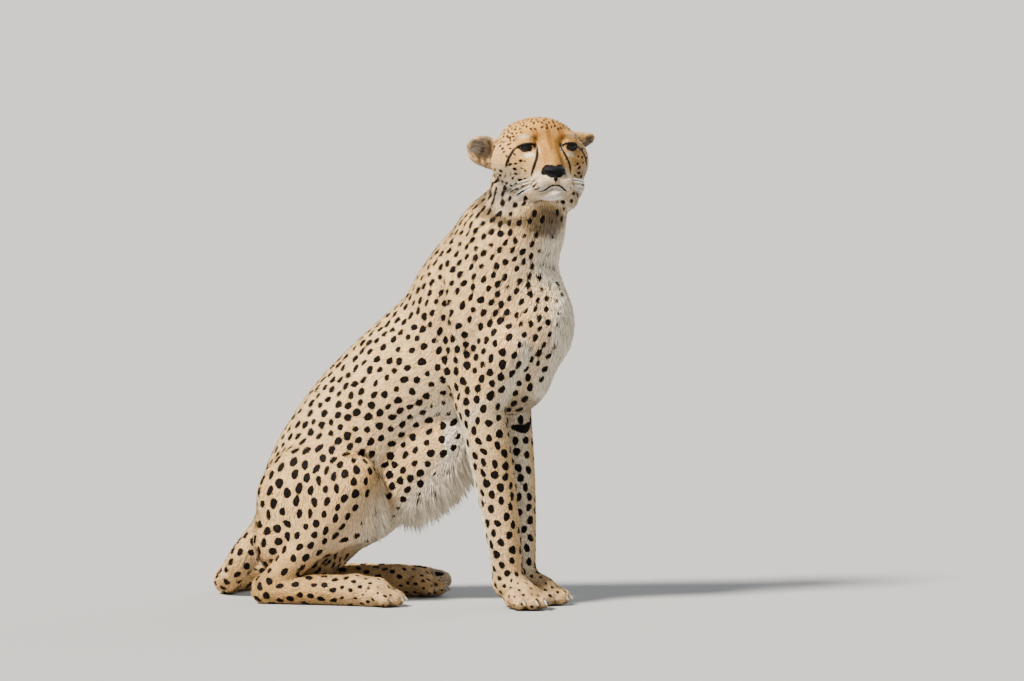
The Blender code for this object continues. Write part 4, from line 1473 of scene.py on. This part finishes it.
    def piece(self, name: str, vertices: Array, tone: Array, mark: Array, strand: Array, sheen: Array,
              root_uv: Array, material: bpy.types.Material) -> bpy.types.Object:
        """One mesh of tufts, each a closed solid of four triangles, with its patch on the skin's unwrap."""
        pattern = np.array(((0, 1, 2), (3, 2, 1), (0, 3, 1), (0, 2, 3)))
        count = len(vertices)
        faces = (np.arange(count)[:, None, None] * 4 + pattern[None]).reshape(-1, 3)
        coat = fast_object(name, vertices.reshape(-1, 3), faces, material)
        store(coat, "tone", tone.reshape(-1, 3))
        store(coat, "mark", mark.ravel())
        store(coat, "strand", strand.reshape(-1, 3))
        coat.data.normals_split_custom_set_from_vertices(sheen.reshape(-1, 3))
        spread = np.array(((0, -1), (-1, 0), (1, 0), (0, 1))) * self.patch
        corner_uv = root_uv[:, None] + spread[pattern.ravel()][None]
        layer = coat.data.uv_layers.new(name="OFBake")
        layer.data.foreach_set("uv", np.ascontiguousarray(corner_uv, np.float32).ravel())
        return coat


# Finishes.


class Nodes:
    """A material's node tree, with short ways to add and join nodes."""

    def __init__(self, name: str) -> None:
        self.material = bpy.data.materials.new(name)
        self.material.use_nodes = True
        self.tree = self.material.node_tree
        self.shader = self.tree.nodes["Principled BSDF"]

    def add(self, kind: str, **settings: object) -> bpy.types.Node:
        """A new node with its settings."""
        node = self.tree.nodes.new(kind)
        for key, value in settings.items():
            setattr(node, key, value)
        return node

    def join(self, source: object, target: object) -> None:
        """Link a socket, or set a constant, into another."""
        if isinstance(source, bpy.types.NodeSocket):
            self.tree.links.new(source, target)
        else:
            target.default_value = source

    def attribute(self, name: str, output: str) -> object:
        """Output of an attribute stored on the mesh."""
        return self.add("ShaderNodeAttribute", attribute_name=name).outputs[output]

    def parts(self, name: str) -> object:
        """The three numbers of an attribute stored on the mesh."""
        node = self.add("ShaderNodeSeparateXYZ")
        self.join(self.attribute(name, "Vector"), node.inputs[0])
        return node.outputs

    def math(self, operation: str, *inputs: object) -> object:
        """Result of a Math node."""
        node = self.add("ShaderNodeMath", operation=operation)
        for value, socket in zip(inputs, node.inputs):
            self.join(value, socket)
        return node.outputs[0]

    def times(self, a: object, b: object) -> object:
        """Product of two values."""
        return self.math("MULTIPLY", a, b)

    def noise(self, scale: float, detail: float) -> object:
        """Noise on Object coordinates, with its scale in cycles a metre."""
        node = self.add("ShaderNodeTexNoise")
        node.inputs["Scale"].default_value = scale
        node.inputs["Detail"].default_value = detail
        self.join(self.add("ShaderNodeTexCoord").outputs["Object"], node.inputs["Vector"])
        return node.outputs["Fac"]

    def ramp(self, value: object, low: float, high: float, to_low: float = 0, to_high: float = 1) -> object:
        """Smooth change from one value to another as the input goes from low to high."""
        node = self.add("ShaderNodeMapRange", interpolation_type="SMOOTHSTEP")
        for number, source in enumerate((value, low, high, to_low, to_high)):
            self.join(source, node.inputs[number])
        return node.outputs[0]

    def blend(self, share: object, a: object, b: object) -> object:
        """Mix of two colours."""
        node = self.add("ShaderNodeMix", data_type="RGBA")
        for source, socket in ((share, node.inputs[0]), (a, node.inputs[6]), (b, node.inputs[7])):
            self.join((*source, 1) if isinstance(source, tuple) else source, socket)
        return node.outputs[2]

    def bump(self, height: object, strength: float, distance: float) -> None:
        """Relief on the shader from a height."""
        node = self.add("ShaderNodeBump")
        node.inputs["Strength"].default_value = strength
        node.inputs["Distance"].default_value = distance
        self.join(height, node.inputs["Height"])
        self.join(node.outputs[0], self.shader.inputs["Normal"])

    def paint(self, colour: object) -> None:
        """Give the shader its colour."""
        self.join(colour, self.shader.inputs["Base Color"])

    def fix(self, **values: float) -> None:
        """Set constants on the shader's own sockets, named with _ for a space."""
        for name, value in values.items():
            self.shader.inputs[name.replace("_", " ")].default_value = value


@dataclass(frozen=True)
class FurFinish:
    """Hair: the ground colour and marks of the attributes, varied by noise and from tuft to tuft, with
    painted shade deep in the coat: darker at each tuft's root and lighter at its tip.
    """

    black: tuple = (0.0055, 0.0045, 0.0045)
    brown: tuple = (0.035, 0.018, 0.010)
    edge: float = 0.8
    roughness: float = 0.7

    def make(self) -> bpy.types.Material:
        """The material."""
        nodes = Nodes("fur")
        tone = nodes.attribute("tone", "Color")
        mark = nodes.attribute("mark", "Fac")
        along, chance, across = nodes.parts("strand")
        fine = nodes.noise(420, 2)
        broad = nodes.noise(14, 3)
        edge = nodes.math("ADD", mark, nodes.times(nodes.math("SUBTRACT", fine, 0.5), 1.6))
        dark = nodes.ramp(edge, self.edge, -self.edge)
        # Painted shade and light of the coat's depth: darker at the root of each tuft, lighter at its tip.
        shade = nodes.times(nodes.ramp(along, 0, 0.8, 0.50, 1.12), nodes.ramp(chance, 0, 1, 0.66, 1.20))
        shade = nodes.times(shade, nodes.ramp(broad, 0.3, 0.7, 0.93, 1.06))
        streak = nodes.math("SINE", nodes.times(across, 19.0))
        shade = nodes.times(shade, nodes.ramp(streak, -1, 1, 0.90, 1.06))
        ground = nodes.add("ShaderNodeVectorMath", operation="SCALE")
        nodes.join(tone, ground.inputs[0])
        nodes.join(shade, ground.inputs["Scale"])
        black = nodes.blend(nodes.ramp(chance, 0.6, 1.0, 0.0, 0.5), self.black, self.brown)
        nodes.paint(nodes.blend(dark, ground.outputs[0], black))
        nodes.fix(Roughness=self.roughness, Specular_IOR_Level=0.10)
        nodes.bump(nodes.noise(900, 3), 0.35, 0.0006)
        return nodes.material


@dataclass(frozen=True)
class LeatherFinish:
    """Black leather of the nose, the lips and the rims of the eyes: a fine pebble in low relief."""

    colour: tuple = (0.004, 0.004, 0.0045)
    pale: tuple = (0.010, 0.010, 0.012)
    roughness: float = 0.42
    pebble: float = 1400.0
    relief: float = 0.0005

    def make(self) -> bpy.types.Material:
        """The material."""
        nodes = Nodes("leather")
        cells = nodes.add("ShaderNodeTexVoronoi", feature="F1")
        cells.inputs["Scale"].default_value = self.pebble
        nodes.join(nodes.add("ShaderNodeTexCoord").outputs["Object"], cells.inputs["Vector"])
        nodes.paint(nodes.blend(nodes.noise(300, 3), self.colour, self.pale))
        rough = nodes.ramp(nodes.noise(500, 2), 0.2, 0.8, self.roughness - 0.1, self.roughness + 0.12)
        nodes.join(rough, nodes.shader.inputs["Roughness"])
        nodes.fix(Specular_IOR_Level=0.05)
        nodes.bump(cells.outputs["Distance"], 0.5, self.relief)
        return nodes.material


@dataclass(frozen=True)
class EyeFinish:
    """The eye: a black pupil, a dark amber iris with fibres, painted nearly black with the brow's shade,
    a darker rim, and a wet coat over all.
    """

    black: tuple = (0.004, 0.004, 0.004)
    # The iris's amber is darkened nearly to black: painted shade of the brow over the eye.
    iris: tuple = (0.005, 0.0025, 0.0012)
    inner: tuple = (0.012, 0.0055, 0.0022)
    rim: tuple = (0.002, 0.0015, 0.001)
    pupil: float = 0.24
    edge: float = 0.74

    def make(self) -> bpy.types.Material:
        """The material."""
        nodes = Nodes("eye")
        angle, around, _ = nodes.parts("gaze")
        spokes = nodes.math("SINE", nodes.times(around, 46.0))
        fibre = nodes.ramp(nodes.math("ADD", spokes, nodes.times(nodes.noise(900, 2), 2.0)), -0.6, 2.2)
        iris = nodes.blend(fibre, self.iris, self.inner)
        iris = nodes.blend(nodes.ramp(angle, self.edge - 0.22, self.edge), iris, self.rim)
        nodes.paint(nodes.blend(nodes.ramp(angle, self.pupil, self.pupil + 0.05), self.black, iris))
        nodes.fix(Roughness=0.3, Specular_IOR_Level=0.1, Coat_Weight=0.25, Coat_Roughness=0.04, Coat_IOR=1.38)
        return nodes.material


@dataclass(frozen=True)
class HornFinish:
    """Horn of the claws: ivory, darker towards the root, with fine lengthwise grain."""

    light: tuple = (0.30, 0.24, 0.17)
    dark: tuple = (0.08, 0.05, 0.03)

    def make(self) -> bpy.types.Material:
        """The material."""
        nodes = Nodes("horn")
        share = nodes.attribute("share", "Fac")
        grain = nodes.noise(700, 3)
        pale = nodes.ramp(nodes.math("ADD", share, nodes.times(grain, 0.3)), 0.2, 0.9)
        nodes.paint(nodes.blend(pale, self.dark, self.light))
        nodes.fix(Roughness=0.35)
        nodes.bump(grain, 0.3, 0.0003)
        return nodes.material


@dataclass(frozen=True)
class PlainFinish:
    """A plain matt ground with a faint mottle, for the floor and for the whiskers."""

    name: str
    colour: tuple
    roughness: float = 0.9

    def make(self) -> bpy.types.Material:
        """The material."""
        nodes = Nodes(self.name)
        faint = tuple(value * 0.97 for value in self.colour)
        nodes.paint(nodes.blend(nodes.noise(9, 3), self.colour, faint))
        nodes.fix(Roughness=self.roughness)
        return nodes.material


# Small pieces of the head and feet.


@dataclass(frozen=True)
class Nose:
    """The nose leather: a broad top, wings round the nostrils, and a wedge down to the lip."""

    cell: float = 0.0010

    def forms(self) -> list[Form]:
        """The nose's forms, whose radii are the leather's own."""
        wedge = [
            (*HEAD.at(103, 0, -39), 12, 1.65), (*HEAD.at(106, 0, -46), 10, 1.2),
            (*HEAD.at(109, 0, -52.5), 6, 0.8),
        ]
        forms: list[Form] = [
            bare(Ball(Region.MUZZLE, HEAD, HEAD.at(106, 0, -36.5), (14, 21, 8.5), HEAD.ahead, 5)),
            bare(Limb(Region.MUZZLE, wedge, HEAD.left, 4, steps=3)),
        ]
        groove = [(*HEAD.at(121.5, 0, -40), 0.9, 1), (*HEAD.at(117.5, 0, -60), 1.3, 1)]
        forms.append(Limb(Region.MUZZLE, groove, HEAD.left, 1.5, steps=2, cut=True))
        for sign in (-1, 1):
            into, aside = HEAD.turn(0.85, 0.35 * sign, -0.2), HEAD.turn(-0.3, 1.0 * sign, 0.45)
            wing, place = Axes.along((0, 0, 0), into, aside), HEAD.at(117.5, 10 * sign, -42.5)
            forms.append(Ball(Region.MUZZLE, wing, place, (5.0, 5.0, 2.8), HEAD.ahead, 1.5, cut=True))
            slit = [(*HEAD.at(115, 13 * sign, -41.5), 1.7, 1), (*HEAD.at(106, 21 * sign, -38), 1.2, 1)]
            forms.append(Limb(Region.MUZZLE, slit, HEAD.left, 1.5, steps=2, cut=True))
        return forms

    def build(self, material: bpy.types.Material) -> bpy.types.Object:
        """The nose as the level surface of its forms."""
        shape = Shape(self.forms())
        vertices, quads = Lattice(self.cell, plan(*HEAD.origin)).contour(shape)
        return fast_object("nose_leather", vertices, quads, material)


def bare(form: Form) -> Form:
    """A form with its coat's depth given back, as it carries no coat."""
    if isinstance(form, Ball):
        form.radii = form.radii + form.shrink * MM
    else:
        form.radius = form.radius + form.shrink * MM
    return form


@dataclass(frozen=True)
class LidRim:
    """The bare black rim of an eye: a tube that closes round the opening, in degrees about the eye's gaze.

    A station is the angle outwards, the angle up, and the rim's radius in millimetres.
    """

    sign: int
    stations: tuple = (
        (62, 0, 2.0), (46, 10, 2.5), (22, 16, 2.8), (-6, 20, 2.9), (-34, 21, 2.9), (-58, 17, 2.6),
        (-72, 4, 2.6), (-72, -10, 2.6), (-56, -21, 2.2), (-30, -28, 2.0), (-2, -31, 2.0), (26, -26, 2.0),
        (48, -12, 1.9),
    )
    lift: float = 0.9
    sides: int = 10

    def build(self, material: bpy.types.Material) -> bpy.types.Object:
        """The rim: a ring of circles about the closed curve on a sphere just over the eyeball."""
        eye = Eyeball(self.sign)
        axes = eye.axes()
        rows = resample(np.vstack([self.stations[-2:], self.stations, self.stations[:2]]), 6)
        rows = rows[12:-13]
        out, up = np.radians(rows[:, 0]) * self.sign, np.radians(rows[:, 1])
        direction = np.stack([np.cos(up) * np.cos(out), np.cos(up) * np.sin(out), np.sin(up)], 1)
        direction = direction @ axes.basis()
        path = axes.origin + direction * (eye.radius + self.lift)
        tangent = unit(np.roll(path, -1, 0) - np.roll(path, 1, 0))
        across = np.cross(tangent, direction)
        ring = rings_about(across, direction, self.sides)
        places = path[:, None] + ring * rows[:, 2][:, None, None]
        count = len(path)
        i, j = np.meshgrid(np.arange(count), np.arange(self.sides), indexing="ij")
        after, beside = (i + 1) % count, (j + 1) % self.sides
        pairs = ((i, j), (after, j), (after, beside), (i, beside))
        faces = np.stack([a * self.sides + b for a, b in pairs], -1).reshape(-1, 4)
        if self.sign > 0:
            faces = faces[:, ::-1]
        side = "L" if self.sign > 0 else "R"
        return fast_object(f"lid_rim_{side}", metres(places.reshape(-1, 3)), faces, material)


@dataclass(frozen=True)
class Lips:
    """The dark line of the closed mouth, as a thin tube laid into the skin: ahead, left, up and radius."""

    centre: tuple = ((118, 0, -60, 0.9), (116, 0, -64, 0.9), (115, 0, -68, 1.2), (114, 0, -71, 0.8))
    lift: float = 0.0004

    def build(self, shape: Shape, material: bpy.types.Material) -> bpy.types.Object:
        """One mesh of three tubes, which follow the skin."""
        tubes = []
        for stations in (self.centre, MOUTH_LINE, mirrored(MOUTH_LINE)):
            rows = resample(stations, 6)
            tubes.append(tube(shape.settle(HEAD.placed(rows), self.lift), rows[:, 3] * MM, 8))
        return joined("lip_line", tubes, material)


@dataclass(frozen=True)
class Claw:
    """A claw: a curved horn, narrower than it is high, in the frame that its toe gives it."""

    axes: Axes
    length: float = 18.0
    root: float = 3.3
    droop: float = 26.0
    inset: float = 4.0
    high: float = 1.35
    sides: int = 10

    def surface(self) -> tuple[Array, list, Array]:
        """The horn's path turns down evenly; its radius is root(1 - s^2.2)^0.8 at share s of the length."""
        share = np.linspace(0, 1, 12)
        turn = radians(self.droop) * (share - 0.3)
        stride = self.length / (len(share) - 1)
        ahead = np.cumsum(np.cos(turn)) * stride - self.inset
        down = np.cumsum(np.sin(turn)) * stride
        path = self.axes.origin + ahead[:, None] * self.axes.ahead - down[:, None] * self.axes.up
        radius = self.root * (1 - share**2.2) ** 0.8
        vertices, faces = tube(metres(path), radius * MM, self.sides, self.high, self.axes.up)
        rings = np.repeat(share[1:-1], self.sides)
        return vertices, faces, np.concatenate([[0.0], rings, [1.0]])


@dataclass(frozen=True)
class Whiskers:
    """Long stiff hairs of the muzzle: rows of roots, and for each the way it leaves the face."""

    rows: tuple = (-53, -58, -63, -68)
    columns: tuple = (78, 86, 94)
    length: float = 50.0
    radius: float = 0.34

    def build(self, shape: Shape, rng: np.random.Generator, material: bpy.types.Material) -> bpy.types.Object:
        """One mesh of tapering hairs: path p + d s L - u s^2 L, which leaves along d and droops by u."""
        share = np.linspace(0, 1, 9)[:, None]
        radius = self.radius * MM * (1 - 0.85 * share[:, 0])
        tubes = []
        for sign, up, ahead in product((-1, 1), self.rows, self.columns):
            root = shape.settle(plan(*HEAD.at(ahead, 36 * sign, up))[None])[0]
            way = unit(HEAD.turn(0.25 - (94 - ahead) * 0.03, 1.0 * sign, -0.12 + (up + 60) * 0.02))
            reach = self.length * rng.uniform(0.6, 1.0) * MM
            droop = HEAD.turn(0.6, 0, 1.0) * (0.30 + rng.uniform(-0.06, 0.06))
            path = root + way * share * reach - droop * share**2 * reach
            tubes.append(tube(path, radius, 5))
        return joined("whiskers", tubes, material)


@dataclass(frozen=True)
class Stage:
    """Floor, soft lights and the camera."""

    azimuth: float = 15.0
    elevation: float = 4.0
    distance: float = 30.0
    aim: tuple = (0.20875, -0.01252, 0.49685)
    metres_wide: float = 1024 * 0.0019
    sensor: float = 36.0
    floor: float = 60.0
    floor_depth: float = 0.0002
    room: tuple = (0.90, 0.94, 1.0, 1)
    glow: float = 0.55
    lit: tuple = (0.1, -0.05, 0.45)

    def build(self) -> None:
        """Make them all."""
        corners = self.floor * np.array(((-1, -1, 0), (1, -1, 0), (1, 1, 0), (-1, 1, 0)))
        ground = PlainFinish("ground", (0.30, 0.298, 0.29)).make()
        floor = mesh_object("floor", corners - UP * self.floor_depth, [(0, 1, 2, 3)], ground)
        world = bpy.data.worlds.new("room")
        bpy.context.scene.world = world
        world.use_nodes = True
        light = world.node_tree.nodes["Background"].inputs
        light["Color"].default_value, light["Strength"].default_value = self.room, self.glow
        self.light("key", (-1.3, -2.5, 3.4), 12, 14.5, (1.0, 0.945, 0.86))
        self.light("back", (1.8, 3.4, 2.6), 40, 1.5, (0.95, 0.97, 1.0))
        self.camera()

    def light(self, name: str, place: tuple, spread: float, strength: float, colour: tuple) -> None:
        """A wide, even light from the side of a place, soft by its spread in degrees."""
        data = bpy.data.lights.new(name, "SUN")
        data.angle, data.energy, data.color = radians(spread), strength, colour
        lamp = linked(name, data)
        lamp.location = place
        to = Vector(self.lit) - Vector(place)
        lamp.rotation_euler = to.to_track_quat("-Z", "Y").to_euler()

    def camera(self) -> None:
        """The camera, a long lens at the animal's height."""
        a, e = radians(self.azimuth), radians(self.elevation)
        back = Vector((sin(a) * cos(e), -cos(a) * cos(e), sin(e)))
        data = bpy.data.cameras.new("camera")
        data.sensor_width = self.sensor
        data.lens = self.sensor * self.distance / self.metres_wide
        data.clip_end = 200
        camera = linked("camera", data)
        camera.location = Vector(self.aim) + back * self.distance
        camera.rotation_euler = (-back).to_track_quat("-Z", "Y").to_euler()
        bpy.context.scene.camera = camera


@dataclass
class Cheetah:
    """The whole animal."""

    forelegs: dict = field(default_factory=lambda: {
        "R": Foreleg((236, -110, 500), (182, -98, 392), (238, -89, 48), -36),
        "L": Foreleg((266, 8, 498), (201, 28, 388), (238, 0, 46), -6),
    })
    hindlegs: dict = field(default_factory=lambda: {"R": HindLeg(-1), "L": HindLeg(1, 17.0)})

    def shape(self) -> Shape:
        """The skin's shape."""
        forms = Trunk().forms() + Skull().forms() + [Tail().limb()]
        for leg in (*self.forelegs.values(), *self.hindlegs.values()):
            forms += leg.forms()
        return Shape(forms, SOLE)

    def flesh(self) -> list[str]:
        """Names of the CAD nodes that the skin stands for."""
        return [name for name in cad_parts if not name.startswith(("eye_", "nose", "claw_"))]

    def build(self) -> None:
        """Make every piece."""
        rng = np.random.default_rng(SEED)
        shape = self.shape()
        skin = Skin(shape)
        skin.build()
        marks = Marks(shape)
        self.draw_lines(marks)
        marks.scatter(skin, rng)
        marks.speckle(skin, rng)
        fur, leather = FurFinish().make(), LeatherFinish().make()
        seat(skin.dress(marks, fur), "abdomen", *self.flesh())
        for piece in Coat(skin, marks).grow(rng, fur):
            seat(piece, "head" if "head" in piece.name else "abdomen")
        eye = EyeFinish().make()
        for side, sign in (("R", -1), ("L", 1)):
            seat(Eyeball(sign).build(f"eyeball_{side}", eye), f"eye_{side}", f"eye_{side}")
            seat(LidRim(sign).build(leather), "nose")
        seat(Nose().build(leather), "nose", "nose")
        seat(Lips().build(shape, leather), "nose")
        seat(Whiskers().build(shape, rng, PlainFinish("whisker", (0.85, 0.83, 0.78), 0.4).make()), "head")
        self.claws(HornFinish().make())

    @staticmethod
    def draw_lines(marks: Marks) -> None:
        """The lines of the face on both sides, and the bars of the throat, foreleg, ears and tail."""
        for stations in (TEAR_LINE, OUTER_LINE, MOUTH_LINE, NOSE_GROUND, *WHISKER_ROWS, *CHEEK_LINES):
            marks.line(stations)
            marks.line(mirrored(stations))
        for stations in THROAT_BARS:
            marks.line(stations)
        marks.line(FORELEG_BAR, BODY)
        for ear in EARS.values():
            marks.line(EAR_BACK, ear.axes())
        for where, half in Tail().rings:
            marks.line(Tail().ring(where, half), BODY)

    def claws(self, horn: bpy.types.Material) -> None:
        """Sixteen claws, each for its own node."""
        feet = {f"fore_{side}": (leg.wrist, leg.yaw) for side, leg in self.forelegs.items()}
        for side, leg in self.hindlegs.items():
            feet[f"hind_{side}"] = (leg.point(leg.toes), 3 * leg.sign)
        for name, (wrist, yaw) in feet.items():
            for number, axes in enumerate(Paw().claws(np.array(wrist, float), yaw), 1):
                vertices, faces, share = Claw(axes).surface()
                claw = mesh_object(f"horn_{name}_{number}", vertices, faces, horn)
                store(claw, "share", share)
                seat(claw, f"claw_{name}_{number}", f"claw_{name}_{number}")


def main() -> None:
    """Build the animal and its stage."""
    logging.basicConfig(level=logging.INFO, format="%(message)s")
    Cheetah().build()
    Stage().build()


if __name__ == "__main__":
    main()
